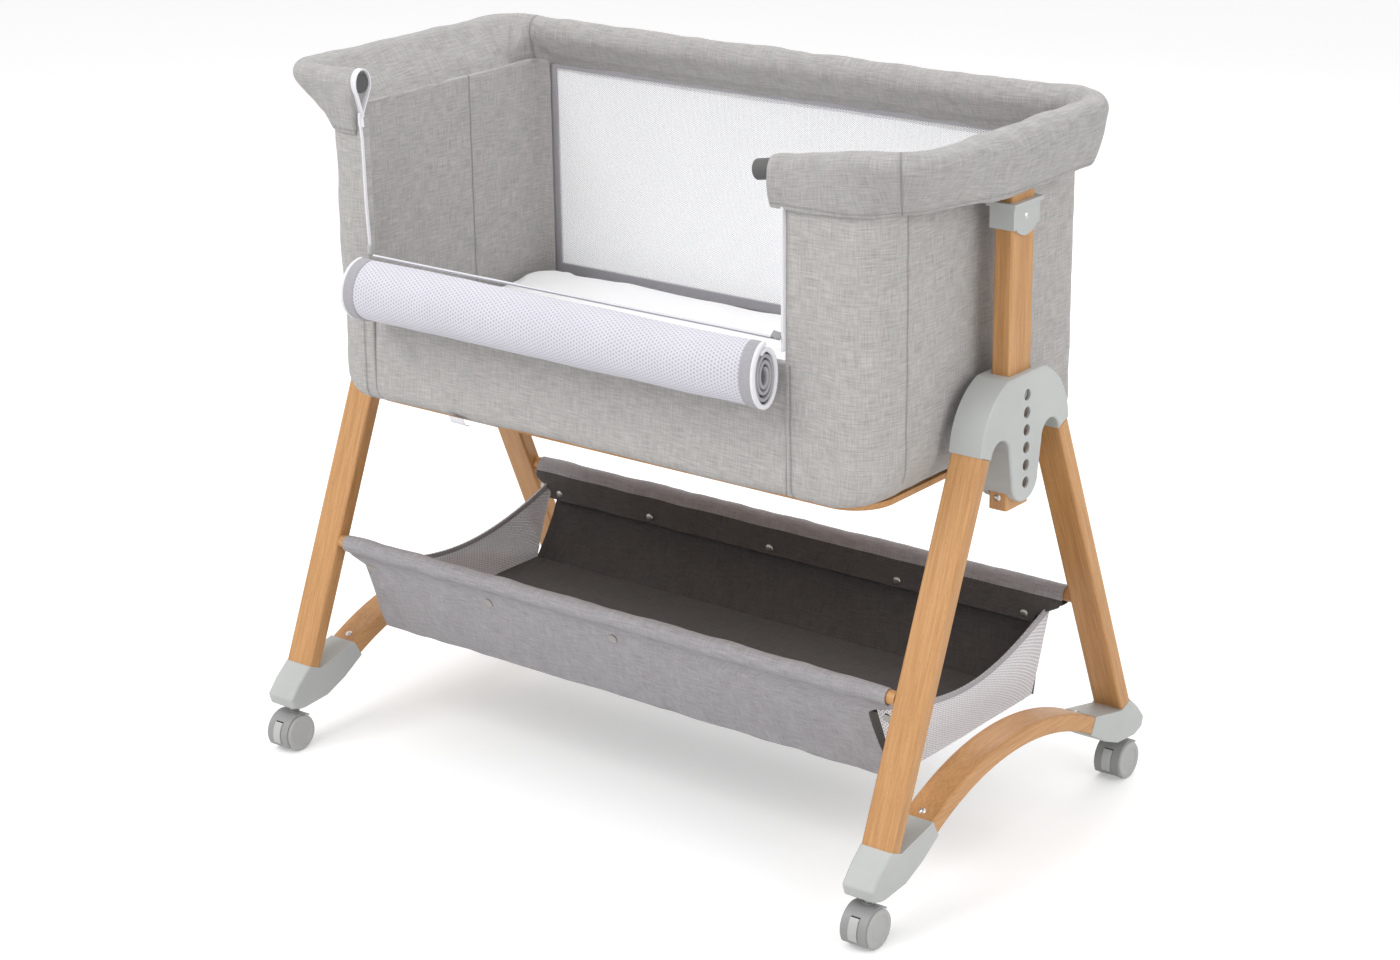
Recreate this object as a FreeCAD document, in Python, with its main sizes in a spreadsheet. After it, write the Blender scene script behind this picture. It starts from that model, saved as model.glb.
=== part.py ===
import FreeCAD, Part
import Sketcher
import math
import os

# A bedside sleeper crib: a wooden A-frame stand on four castors carries a fabric bassinet on
# two sliding posts. Millimetres. X runs along the crib, -Y is the open bedside face, +Z is up,
# and the origin is the point on the floor under the middle of the stand.

Vector = FreeCAD.Vector
Placement = FreeCAD.Placement
Rotation = FreeCAD.Rotation
X_AXIS = Vector(1, 0, 0)
Y_AXIS = Vector(0, 1, 0)
Z_AXIS = Vector(0, 0, 1)

document = FreeCAD.newDocument("bedside_crib")
sheet = document.addObject("Spreadsheet::Sheet", "Sizes")

DRIVING_SIZES = [
    # stand: legs
    ("leg_x", 434.0),
    ("leg_wide", 40.0),
    ("leg_thick", 20.0),
    ("leg_edge_round", 3.5),
    ("leg_lean", 22.5),
    ("leg_top_y", 79.5),
    ("leg_top_z", 501.0),
    ("leg_foot_z", 103.0),
    ("tenon_wide", 28.0),
    ("tenon_thick", 10.0),
    ("tenon_long", 20.0),
    ("seat_gap", 0.2),
    # stand: the hub on each side joins two legs and guides a post
    ("shell_proud", 0.8),
    ("hub_top_z", 578.0),
    ("hub_top_half", 36.0),
    ("hub_shoulder_y", 71.0),
    ("hub_shoulder_z", 554.0),
    ("notch_y", 52.0),
    ("notch_z", 514.0),
    ("tongue_root_half", 33.0),
    ("tongue_root_z", 495.0),
    ("tongue_tip_half", 27.0),
    ("tongue_tip_z", 460.0),
    ("tongue_end_z", 432.0),
    ("hub_edge_round", 3.0),
    ("hub_face_wall", 10.0),
    # height adjustment
    ("hole_top_z", 554.0),
    ("hole_pitch", 20.0),
    ("hole_count", 6.0),
    ("hole_radius", 6.5),
    ("index_wall", 3.0),
    ("channel_half", 7.2),
    ("slide_gap", 0.4),
    ("button_radius", 6.0),
    ("button_long", 14.0),
    ("button_bore_deep", 20.0),
    ("button_gap", 0.1),
    ("button_rim", 1.0),
    ("button_rest_gap", 0.3),
    ("spring_radius", 4.6),
    ("spring_wall", 1.2),
    # posts
    ("post_wide", 45.0),
    ("post_thick", 23.0),
    ("post_edge_round", 3.0),
    ("post_bottom_z", 424.0),
    ("post_screw_z", 438.0),
    # foot sockets
    ("foot_nose_y", 289.0),
    ("foot_base_z", 56.0),
    ("foot_tall", 34.0),
    ("foot_toe_deep", 17.0),
    ("foot_heel_y", 226.0),
    ("foot_arch_y", 195.0),
    ("foot_round", 4.0),
    # arch strut
    ("arch_radius", 371.0),
    ("arch_thick", 21.0),
    ("arch_top_z", 154.5),
    ("arch_end", 27.8),
    ("arch_tenon_turn", 3.2),
    ("arch_screw_turn", 1.6),
    ("leg_screw_up", 15.0),
    # castors
    ("stem_y", 266.5),
    ("stem_radius", 5.4),
    ("stem_top_z", 76.0),
    ("stem_bottom_z", 30.0),
    ("swivel_gap", 0.08),
    ("castor_trail", 5.0),
    ("wheel_radius", 23.0),
    ("wheel_inner_x", 8.5),
    ("wheel_outer_x", 18.5),
    ("wheel_round", 3.0),
    ("cowl_gap", 0.6),
    ("cowl_thick", 1.9),
    ("cowl_half", 16.4),
    ("cowl_front_angle", 215.0),
    ("cowl_rear_angle", 50.0),
    ("web_half", 7.5),
    ("boss_radius", 8.0),
    ("axle_radius", 3.0),
    ("axle_gap", 0.05),
    ("lever_half", 5.6),
    ("lever_inner", 19.5),
    ("lever_proud", 1.2),
    ("lever_top_angle", 140.0),
    ("lever_tip_angle", 200.0),
    ("lever_pivot_radius", 21.6),
    ("lever_pivot_angle", 144.0),
    ("lever_pin_radius", 1.2),
    ("lever_gap", 0.5),
    # storage basket
    ("rod_radius", 8.0),
    ("rod_z", 251.5),
    ("rod_outward", 2.0),
    ("cloth_thick", 2.0),
    ("sleeve_gap", 0.4),
    ("basket_to_leg", 49.0),
    ("basket_half", "=leg_x - basket_to_leg"),
    ("lip_to_leg", 30.0),
    ("basket_lip_half", "=leg_x - lip_to_leg"),
    ("neck_in", 13.0),
    ("basket_neck_half", "=basket_half - neck_in"),
    ("basket_neck_z", 230.0),
    ("basket_floor_half", 143.0),
    ("basket_floor_z", 134.0),
    ("basket_floor_thick", 3.5),
    ("basket_gap", 0.3),
    ("mesh_thick", 1.6),
    ("mesh_droop", 42.0),
    ("binding_high", 9.0),
    ("binding_thick", 3.4),
    ("snap_radius", 5.5),
    ("snap_high", 2.2),
    ("snap_drop", 28.0),
    ("snap_start", 370.0),
    ("snap_pitch", 192.0),
    ("snap_count", 5.0),
    # bassinet tub
    ("tub_to_leg", 36.0),
    ("tub_half_x", "=leg_x - tub_to_leg"),
    ("tub_front_y", 209.0),
    ("tub_back_y", 206.0),
    ("tub_bottom_z", 457.0),
    ("tub_wall", 12.0),
    ("tub_front_round", 60.0),
    ("tub_back_round", 30.0),
    ("tub_end_round", 44.0),
    ("tub_side_round", 18.0),
    ("opening_left_in", 80.0),
    ("opening_left_x", "=tub_half_x - opening_left_in"),
    ("opening_right_in", 114.0),
    ("opening_right_x", "=tub_half_x - opening_right_in"),
    ("front_wall_top_z", 610.0),
    ("window_to_end", 14.0),
    ("window_half", "=tub_half_x - window_to_end"),
    ("window_bottom_z", 522.0),
    ("window_mesh_thick", 2.0),
    ("window_band", 14.0),
    ("floor_to_end", 58.0),
    ("floor_half_x", "=tub_half_x - floor_to_end"),
    ("floor_half_y", 176.0),
    ("panel_gap", 0.3),
    ("board_to_end", 26.0),
    ("board_half_x", "=tub_half_x - board_to_end"),
    ("board_half_y", 183.0),
    ("board_thick", 8.0),
    ("board_round", 50.0),
    ("board_edge_round", 3.0),
    ("mattress_top_z", 530.0),
    ("mattress_crown", 7.0),
    ("mattress_gap", 3.5),
    ("mattress_corner", 55.0),
    ("mattress_draw", 6.0),
    # padded rail and its tube
    ("rail_past_leg", 11.0),
    ("rail_half_x", "=leg_x + rail_past_leg"),
    ("rail_front_y", 204.0),
    ("rail_back_y", 184.0),
    ("rail_z", 839.0),
    ("rail_pad", 15.5),
    ("rail_corner", 54.0),
    ("hem_outer_drop", 63.0),
    ("hem_outer_z", "=rail_z - hem_outer_drop"),
    ("hem_inner_drop", 42.0),
    ("hem_inner_z", "=rail_z - hem_inner_drop"),
    ("hem_thick", 15.0),
    ("hem_step", 4.0),
    ("hem_past_post", 3.0),
    ("hem_flare_y", 200.0),
    ("rail_left_back", 8.0),
    ("rail_left_x", "=opening_left_x + rail_left_back"),
    ("rail_right_past", 18.0),
    ("rail_right_x", "=opening_right_x - rail_right_past"),
    ("rail_right_drop", 21.0),
    ("rail_gap", 0.6),
    ("tube_radius", 9.5),
    ("plug_radius", 11.3),
    ("plug_left_long", 4.0),
    ("plug_right_long", 20.0),
    # brackets at the post tops
    ("bracket_low_drop", 99.0),
    ("bracket_low_z", "=rail_z - bracket_low_drop"),
    ("bracket_high_drop", 70.0),
    ("bracket_high_z", "=rail_z - bracket_high_drop"),
    ("bracket_wall", 3.6),
    ("bracket_lip", 3.0),
    ("bracket_lip_high", 5.0),
    ("bracket_tip_drop", 9.0),
    ("bracket_screw_drop", 87.0),
    ("bracket_screw_z", "=rail_z - bracket_screw_drop"),
    # rolled-down bedside panel
    ("roll_radius", 38.5),
    ("roll_y", 236.5),
    ("roll_z", 604.0),
    ("roll_left_in", 12.0),
    ("roll_left_x", "=opening_left_x - roll_left_in"),
    ("roll_right_in", 3.0),
    ("roll_right_x", "=opening_right_x - roll_right_in"),
    ("roll_turns", 4.0),
    ("roll_sheet", 4.4),
    ("roll_pitch", 7.0),
    ("roll_end_long", 7.0),
    # screws
    ("screw_head", 4.2),
    ("screw_shank", 2.0),
    ("screw_long", 9.0),
    ("screw_seat", 0.06),
]

for row_number, (alias, number) in enumerate(DRIVING_SIZES, start=1):
    sheet.set("A%d" % row_number, alias.replace("_", " "))
    sheet.set("B%d" % row_number, str(number))
    sheet.setAlias("B%d" % row_number, alias)
document.recompute()

SIDES = (("left", -1), ("right", 1))
FACES = (("front", -1), ("rear", 1))
nodes = []


def size(alias):
    return float(sheet.get(alias))


def read(entry):
    """An outline's coordinate: a plain number, or the name of a driving size."""
    if isinstance(entry, str):
        sign = -1.0 if entry.startswith("-") else 1.0
        return sign * size(entry.lstrip("-"))
    return float(entry)


def cell(entry):
    sign = "-" if entry.startswith("-") else ""
    return sign + "Sizes." + entry.lstrip("-")


def new_object(kind, name, **formulas):
    made = document.addObject(kind, name)
    for field, formula in formulas.items():
        made.setExpression(field.replace("_at_", "."), str(formula))
    return made


def node(made, label, where=None):
    if where is not None:
        made.Placement = where
    made.Label = label
    nodes.append(made)
    return made


def soft_node(shape, label):
    made = document.addObject("Part::Feature", label + "_form")
    made.Shape = shape
    made.Placement = Placement()
    return node(made, label)


# ---------------------------------------------------------------- sketches and solids


def pin_point(sketch, segment, point, entry, kind):
    pinned = sketch.addConstraint(Sketcher.Constraint(kind, -1, 1, segment, point, read(entry)))
    if isinstance(entry, str):
        sketch.setExpression("Constraints[%d]" % pinned, cell(entry))


def add_segment(sketch, start, middle, end):
    """Add a line, or an arc when it has a middle; returns which end of it comes first."""
    first = Vector(read(start[0]), read(start[1]), 0)
    last = Vector(read(end[0]), read(end[1]), 0)
    if middle is None:
        return sketch.addGeometry(Part.LineSegment(first, last), False), 1, 2
    through = Vector(read(middle[0]), read(middle[1]), 0)
    circle = Part.Arc(first, through, last).toShape().Curve
    centre = circle.Center
    from_angle = math.atan2(first.y - centre.y, first.x - centre.x)
    to_angle = math.atan2(last.y - centre.y, last.x - centre.x)
    turning = (through - first).cross(last - through).z
    ring = Part.Circle(Vector(centre.x, centre.y, 0), Z_AXIS, circle.Radius)
    if turning > 0:
        return sketch.addGeometry(Part.ArcOfCircle(ring, from_angle, to_angle), False), 1, 2
    return sketch.addGeometry(Part.ArcOfCircle(ring, to_angle, from_angle), False), 2, 1


def outline(body, name, role, offset, points):
    """A closed sketch through the points; a third item marks the middle of an arc."""
    sketch = body.newObject("Sketcher::SketchObject", name)
    plane = [item for item in body.Origin.OriginFeatures if item.Role == role][0]
    sketch.AttachmentSupport = [(plane, "")]
    sketch.MapMode = "FlatFace"
    sketch.AttachmentOffset = Placement(Vector(0, 0, read(offset)), Rotation())
    if isinstance(offset, str):
        sketch.setExpression("AttachmentOffset.Base.z", cell(offset))
    segments = []
    starts = []
    index = 0
    while index < len(points):
        start = points[index]
        follower = points[(index + 1) % len(points)]
        starts.append(start)
        if len(follower) == 3:
            segments.append(add_segment(sketch, start, follower, points[(index + 2) % len(points)]))
            index += 2
        else:
            segments.append(add_segment(sketch, start, None, follower))
            index += 1
    for number, (segment, first, last) in enumerate(segments):
        following, next_first = segments[(number + 1) % len(segments)][:2]
        sketch.addConstraint(Sketcher.Constraint("Coincident", segment, last, following, next_first))
    for start, (segment, first, last) in zip(starts, segments):
        pin_point(sketch, segment, first, start[0], "DistanceX")
        pin_point(sketch, segment, first, start[1], "DistanceY")
    return sketch


def pad(body, name, sketch, length):
    made = body.newObject("PartDesign::Pad", name)
    made.Profile = sketch
    made.setExpression("Length", length)
    document.recompute()
    return made


def round_edges(body, name, base, radius_cell, chosen):
    names = ["Edge%d" % number for number, edge in enumerate(base.Shape.Edges, start=1) if chosen(edge)]
    made = body.newObject("PartDesign::Fillet", name)
    made.Base = (base, names)
    made.setExpression("Radius", radius_cell)
    document.recompute()
    return made


def cut_from(base, tools, name):
    if len(tools) == 1:
        gathered = tools[0]
    else:
        gathered = document.addObject("Part::MultiFuse", name + "_tools")
        gathered.Shapes = tools
    made = document.addObject("Part::Cut", name + "_cut")
    made.Base = base
    made.Tool = gathered
    return made


def block(low, high):
    return Part.makeBox(high[0] - low[0], high[1] - low[1], high[2] - low[2], Vector(*low))


def prism(plane, points, low, high):
    """Extrude an outline of (across, up) points along the plane's normal."""
    def lift(point):
        if plane == "YZ":
            return Vector(low, point[0], point[1])
        if plane == "XZ":
            return Vector(point[0], low, point[1])
        return Vector(point[0], point[1], low)

    edges = []
    index = 0
    while index < len(points):
        start = points[index]
        follower = points[(index + 1) % len(points)]
        if len(follower) == 3:
            end = points[(index + 2) % len(points)]
            edges.append(Part.Arc(lift(start), lift(follower), lift(end)).toShape())
            index += 2
        else:
            edges.append(Part.LineSegment(lift(start), lift(follower)).toShape())
            index += 1
    normal = {"YZ": X_AXIS, "XZ": Y_AXIS, "XY": Z_AXIS}[plane]
    return Part.Face(Part.Wire(edges)).extrude(normal * (high - low))


def rounded_outline(low_a, high_a, low_b, high_b, radii):
    """Points of a rectangle; radii are for low-low, high-low, high-high and low-high corners."""
    points = []
    corners = ((low_a, low_b, 180), (high_a, low_b, 270), (high_a, high_b, 0), (low_a, high_b, 90))
    for (a, b, start), radius in zip(corners, radii):
        if radius <= 0:
            points.append((a, b))
            continue
        centre_a = a + radius if a == low_a else a - radius
        centre_b = b + radius if b == low_b else b - radius
        for turn in (0, 45, 90):
            angle = math.radians(start + turn)
            point = (centre_a + radius * math.cos(angle), centre_b + radius * math.sin(angle))
            points.append(point + ("arc",) if turn == 45 else point)
    return points


def rounded_form(x_range, y_range, z_range, plan_radii, end_radii, side_radii):
    """The common of three prisms: plan, end-on and side-on outlines with their own corners."""
    plan = prism("XY", rounded_outline(x_range[0], x_range[1], y_range[0], y_range[1], plan_radii),
                 z_range[0], z_range[1])
    front = prism("XZ", rounded_outline(x_range[0], x_range[1], z_range[0], z_range[1], end_radii),
                  y_range[0], y_range[1])
    side = prism("YZ", rounded_outline(y_range[0], y_range[1], z_range[0], z_range[1], side_radii),
                 x_range[0], x_range[1])
    return plan.common(front).common(side)


# ---------------------------------------------------------------- the stand

lean = math.radians(size("leg_lean"))
leg_x = size("leg_x")
leg_long = (size("leg_top_z") - size("leg_foot_z")) / math.cos(lean)
LEG_LONG = "(Sizes.leg_top_z - Sizes.leg_foot_z) / cos(Sizes.leg_lean * 1 deg)"
SHELL_WIDE = "Sizes.leg_wide + 2 * Sizes.shell_proud"
shell_low_x = leg_x - size("leg_wide") / 2 - size("shell_proud")
shell_high_x = leg_x + size("leg_wide") / 2 + size("shell_proud")


def turned_about(x, half_turn):
    """Stay, or make a half turn about the upright line at x."""
    if half_turn:
        return Placement(Vector(2 * x, 0, 0), Rotation(Z_AXIS, 180))
    return Placement()


def corner_placement(side, face):
    """Where a piece made for the right rear corner goes for another corner."""
    across = Placement(Vector(0 if side > 0 else -2 * leg_x, 0, 0), Rotation())
    return across.multiply(turned_about(leg_x, face < 0))


def leg_placement():
    """The right rear leg's own Z runs down its length from the hub joint to the foot joint."""
    top = Vector(leg_x, size("leg_top_y"), size("leg_top_z"))
    return Placement(top, Rotation(X_AXIS, math.degrees(lean) + 180.0))


def leg_point(along, across):
    """A point beside the right rear leg's axis, in Y and Z: across runs outward."""
    y = size("leg_top_y") + along * math.sin(lean) + across * math.cos(lean)
    z = size("leg_top_z") - along * math.cos(lean) + across * math.sin(lean)
    return (y, z)


def rectangle(body, name, wide_cell, deep_cell, offset):
    """A rectangle centred on the body's own Z axis."""
    half_wide = size(wide_cell) / 2
    half_deep = size(deep_cell) / 2
    corners = [(-half_wide, -half_deep), (half_wide, -half_deep),
               (half_wide, half_deep), (-half_wide, half_deep)]
    sketch = body.newObject("Sketcher::SketchObject", name)
    plane = [item for item in body.Origin.OriginFeatures if item.Role == "XY_Plane"][0]
    sketch.AttachmentSupport = [(plane, "")]
    sketch.MapMode = "FlatFace"
    sketch.AttachmentOffset = Placement(Vector(0, 0, -read(offset) if offset else 0), Rotation())
    for number in range(4):
        start = Vector(corners[number][0], corners[number][1], 0)
        end = Vector(corners[(number + 1) % 4][0], corners[(number + 1) % 4][1], 0)
        sketch.addGeometry(Part.LineSegment(start, end), False)
    for number in range(4):
        sketch.addConstraint(Sketcher.Constraint("Coincident", number, 2, (number + 1) % 4, 1))
    for number in (0, 2):
        sketch.addConstraint(Sketcher.Constraint("Horizontal", number))
        sketch.addConstraint(Sketcher.Constraint("Vertical", number + 1))
    sketch.addConstraint(Sketcher.Constraint("Symmetric", 0, 1, 2, 1, -1, 1))
    wide = sketch.addConstraint(Sketcher.Constraint("DistanceX", 0, 1, 0, 2, 2 * half_wide))
    deep = sketch.addConstraint(Sketcher.Constraint("DistanceY", 1, 1, 1, 2, 2 * half_deep))
    sketch.setExpression("Constraints[%d]" % wide, cell(wide_cell))
    sketch.setExpression("Constraints[%d]" % deep, cell(deep_cell))
    if offset:
        sketch.setExpression("AttachmentOffset.Base.z", cell("-" + offset))
    return sketch


def make_leg(label, side, face):
    body = document.addObject("PartDesign::Body", label + "_body")
    section = rectangle(body, label + "_section", "leg_wide", "leg_thick", None)
    bar = pad(body, label + "_bar", section, LEG_LONG)

    def runs_along(edge):
        return abs(edge.Length - leg_long) < 0.01

    round_edges(body, label + "_edges", bar, "Sizes.leg_edge_round", runs_along)
    tenon_sketch = rectangle(body, label + "_tenon", "tenon_wide", "tenon_thick", "tenon_long")
    pad(body, label + "_tenons", tenon_sketch, "2 * Sizes.tenon_long + " + LEG_LONG)
    node(body, label, corner_placement(side, face).multiply(leg_placement()))


def leg_tool(name, start, end):
    """The socket bar along the right rear leg's axis, with the seat's clearance."""
    grown = "2 * Sizes.seat_gap"
    bar = new_object("Part::Box", name,
                     Length="Sizes.tenon_wide + " + grown, Width="Sizes.tenon_thick + " + grown,
                     Height=end + " - (" + start + ")")
    bar.Placement = leg_placement().multiply(Placement(
        Vector(-size("tenon_wide") / 2 - size("seat_gap"), -size("tenon_thick") / 2 - size("seat_gap"), 0),
        Rotation()))
    return bar


def slid(tool, along):
    tool.Placement = tool.Placement.multiply(Placement(Vector(0, 0, along), Rotation()))
    return tool


def flipped_copy(tool, name):
    """The same bar for the leg on the other face."""
    twin = document.addObject("Part::Mirroring", name)
    twin.Source = tool
    twin.Normal = Y_AXIS
    return twin


def cylinder(name, radius_cell, height_cell, base, direction):
    made = new_object("Part::Cylinder", name, Radius=radius_cell, Height=height_cell)
    made.Placement = Placement(Vector(*base), Rotation(Z_AXIS, Vector(*direction)))
    return made


post_half = size("post_wide") / 2
post_outer_x = shell_high_x - size("hub_face_wall")
post_inner_x = post_outer_x - size("post_thick")
hole_heights = [size("hole_top_z") - size("hole_pitch") * k for k in range(int(size("hole_count")))]


def make_hub(label, side):
    reach = size("leg_thick") / 2 + size("shell_proud")
    outer = leg_point(0, reach)
    inner = leg_point(0, -reach)
    half = [
        ("hub_top_half", "hub_top_z"),
        ("hub_shoulder_y", "hub_shoulder_z", "arc"),
        outer,
        inner,
        ("notch_y", "notch_z", "arc"),
        ("tongue_root_half", "tongue_root_z"),
        ("tongue_tip_half", "tongue_tip_z"),
    ]

    def opposite(entry):
        if isinstance(entry, str):
            return "-" + entry
        return -entry

    other_half = [(opposite(point[0]),) + tuple(point[1:]) for point in reversed(half)]
    points = half + [(0.0, "tongue_end_z", "arc")] + other_half
    body = document.addObject("PartDesign::Body", label + "_body")
    sketch = outline(body, label + "_profile", "YZ_Plane", shell_low_x, points)
    solid = pad(body, label + "_block", sketch, SHELL_WIDE)

    def on_show(edge):
        return all(abs(vertex.X - shell_high_x) < 0.01 for vertex in edge.Vertexes)

    round_edges(body, label + "_rim", solid, "Sizes.hub_edge_round", on_show)
    gap = size("slide_gap")
    sleeve = new_object("Part::Box", label + "_sleeve", Length="Sizes.post_thick + 2 * Sizes.slide_gap",
                        Width="Sizes.post_wide + 2 * Sizes.slide_gap", Height="Sizes.hub_top_z")
    sleeve_at = Vector(post_inner_x - gap, -post_half - gap, size("foot_base_z"))
    sleeve.Placement = Placement(sleeve_at, Rotation())
    channel = new_object("Part::Box", label + "_channel", Length="Sizes.hub_face_wall - Sizes.index_wall",
                         Width="2 * Sizes.channel_half",
                         Height="(Sizes.hole_count - 1) * Sizes.hole_pitch + 2 * Sizes.channel_half")
    channel.Placement = Placement(
        Vector(post_outer_x, -size("channel_half"), hole_heights[-1] - size("channel_half")), Rotation())
    tools = [sleeve, channel]
    for number, height in enumerate(hole_heights):
        tools.append(cylinder("%s_hole_%d" % (label, number), "Sizes.hole_radius", "Sizes.hub_face_wall + 1",
                              (post_outer_x, 0, height), (1, 0, 0)))
    start = -size("tenon_long") - size("seat_gap")
    socket = slid(leg_tool(label + "_socket", "-Sizes.tenon_long - Sizes.seat_gap", "1"), start)
    tools += [socket, flipped_copy(socket, label + "_socket_twin")]
    node(cut_from(body, tools, label), label, turned_about(0, side < 0))


arch_centre_z = size("arch_top_z") - size("arch_radius")
arch_inner = size("arch_radius") - size("arch_thick")
arch_end = math.radians(size("arch_end"))


def arch_point(radius, angle):
    return (radius * math.sin(angle), arch_centre_z + radius * math.cos(angle))


def arch_band(inner, outer, half_angle):
    return [
        arch_point(outer, -half_angle),
        arch_point(outer, 0) + ("arc",),
        arch_point(outer, half_angle),
        arch_point(inner, half_angle),
        arch_point(inner, 0) + ("arc",),
        arch_point(inner, -half_angle),
    ]


def arch_tenon_band(clear):
    middle = (size("arch_radius") + arch_inner) / 2
    half_thick = size("tenon_thick") / 2 + clear
    half_angle = arch_end + math.radians(size("arch_tenon_turn")) + clear / middle
    return arch_band(middle - half_thick, middle + half_thick, half_angle)


def body_from(label, role, offset, points, length):
    body = document.addObject("PartDesign::Body", label + "_body")
    sketch = outline(body, label + "_profile", role, offset, points)
    return body, pad(body, label + "_solid", sketch, length)


def unit(direction):
    made = Vector(*direction)
    made.normalize()
    return made


def screw_form(head_at, inward):
    """A dome-headed screw: its head sits on the point, its shank runs inward."""
    direction = unit(inward)
    base = Vector(*head_at) - direction * size("screw_seat")
    dome_radius = size("screw_head") * 1.25
    drop = math.sqrt(dome_radius ** 2 - size("screw_head") ** 2)
    ball = Part.makeSphere(dome_radius, base + direction * drop)
    above = Part.makeCylinder(size("screw_head"), dome_radius, base - direction * dome_radius, direction)
    shank = Part.makeCylinder(size("screw_shank"), size("screw_long"), base, direction)
    return ball.common(above).fuse(shank).removeSplitter()


def screw_hole(name, head_at, inward):
    return cylinder(name, "Sizes.screw_shank + Sizes.seat_gap", "Sizes.screw_long + Sizes.seat_gap",
                    head_at, unit(inward))


arch_screw_angle = arch_end - math.radians(size("arch_screw_turn"))
ARCH_SCREWS = (
    ((leg_x,) + arch_point(size("arch_radius"), arch_screw_angle),
     (0, -math.sin(arch_screw_angle), -math.cos(arch_screw_angle))),
    ((leg_x,) + arch_point(arch_inner, arch_screw_angle),
     (0, math.sin(arch_screw_angle), math.cos(arch_screw_angle))),
)
LEG_SCREW = ((leg_x - size("leg_wide") / 2,) + leg_point(leg_long - size("leg_screw_up"), 0), (1, 0, 0))


def make_arch(label, side):
    points = arch_band(arch_inner, size("arch_radius"), arch_end)
    body, solid = body_from(label, "YZ_Plane", leg_x - size("leg_wide") / 2, points, "Sizes.leg_wide")

    def curved(edge):
        return edge.Length > arch_inner * arch_end

    round_edges(body, label + "_edges", solid, "Sizes.leg_edge_round", curved)
    tenon_body = body_from(label + "_tenon", "YZ_Plane", leg_x - size("tenon_wide") / 2,
                           arch_tenon_band(0.0), "Sizes.tenon_wide")[0]
    joined = document.addObject("Part::Fuse", label + "_joined")
    joined.Base = body
    joined.Tool = tenon_body
    tools = []
    for number, (at, inward) in enumerate(ARCH_SCREWS):
        tools.append(screw_hole("%s_screw_hole_%d" % (label, number), at, inward))
    tools += [flipped_copy(tool, tool.Name + "_twin") for tool in list(tools)]
    node(cut_from(joined, tools, label), label, turned_about(0, side < 0))


def make_foot(label, side, face):
    reach = size("leg_thick") / 2 + size("shell_proud")
    outer = leg_point(leg_long, reach)
    inner = leg_point(leg_long, -reach)
    proud = size("shell_proud")
    base = size("foot_base_z")
    nose_y = size("foot_nose_y")
    toe_z = base + size("foot_toe_deep")
    under_arch = arch_point(arch_inner - proud, arch_end)
    points = [
        outer,
        ((outer[0] + nose_y) / 2 + 3.0, base + size("foot_tall")),
        ("foot_nose_y", toe_z),
        (nose_y - size("foot_round"), base + size("foot_round")),
        (nose_y - 4 * size("foot_round"), base),
        ("foot_heel_y", base + size("foot_round")),
        ("foot_arch_y", base + size("foot_toe_deep")),
        under_arch,
        arch_point(size("arch_radius") + proud, arch_end),
        inner,
    ]
    body, solid = body_from(label, "YZ_Plane", shell_low_x, points, SHELL_WIDE)

    def at_toe(edge):
        middle = edge.CenterOfMass
        return middle.y > outer[0] + 1.0

    round_edges(body, label + "_toe", solid, "Sizes.foot_round", at_toe)
    socket = leg_tool(label + "_socket", "-1", "Sizes.tenon_long + Sizes.seat_gap")
    slid(socket, leg_long - 1.0)
    seat_x = leg_x - size("tenon_wide") / 2 - size("seat_gap")
    arch_seat = body_from(label + "_arch_seat", "YZ_Plane", seat_x, arch_tenon_band(size("seat_gap")),
                          "Sizes.tenon_wide + 2 * Sizes.seat_gap")[0]
    stem = cylinder(label + "_stem_hole", "Sizes.stem_radius + Sizes.axle_gap",
                    "Sizes.stem_top_z + Sizes.seat_gap", (leg_x, size("stem_y"), 0), (0, 0, 1))
    screw = screw_hole(label + "_screw_hole", LEG_SCREW[0], LEG_SCREW[1])
    node(cut_from(body, [socket, arch_seat, stem, screw], label), label, corner_placement(side, face))


def group_node(shapes, label):
    soft = document.addObject("Part::Feature", label + "_group")
    soft.Shape = Part.makeCompound(shapes)
    soft.Placement = Placement()
    return node(soft, label)


def cornered(shape, side, face):
    moved = shape.copy()
    moved.Placement = corner_placement(side, face).multiply(moved.Placement)
    return moved


stems = []
stand_screws = []
for side_name, side in SIDES:
    make_hub("hub_" + side_name, side)
    make_arch("arch_strut_" + side_name, side)
    for face_name, face in FACES:
        make_leg("leg_%s_%s" % (face_name, side_name), side, face)
        make_foot("foot_%s_%s" % (face_name, side_name), side, face)
        stem = Part.makeCylinder(size("stem_radius"), size("stem_top_z") - size("stem_bottom_z"),
                                 Vector(leg_x, size("stem_y"), size("stem_bottom_z")))
        stems.append(cornered(stem, side, face))
        for at, inward in ARCH_SCREWS:
            stand_screws.append(cornered(screw_form(at, inward), side, face))
group_node(stems, "castor_stems")
group_node(stand_screws, "stand_screws")


# ---------------------------------------------------------------- castors

def polar(radius, degrees):
    return (radius * math.cos(math.radians(degrees)), radius * math.sin(math.radians(degrees)))


def sector(inner, outer, low, high):
    middle = (low + high) / 2
    return [
        polar(outer, low),
        polar(outer, middle) + ("arc",),
        polar(outer, high),
        polar(inner, high),
        polar(inner, middle) + ("arc",),
        polar(inner, low),
    ]


def castor_placement(side, face):
    """The castor's origin is the middle of its axle, and its wheels trail towards -Y."""
    return Placement(Vector(side * leg_x, face * size("stem_y") - size("castor_trail"), size("wheel_radius")),
                     Rotation())


cowl_inner = size("wheel_radius") + size("cowl_gap")
cowl_outer = cowl_inner + size("cowl_thick")
lever_outer = cowl_outer + size("lever_proud")
lever_pivot = polar(size("lever_pivot_radius"), size("lever_pivot_angle"))


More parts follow.
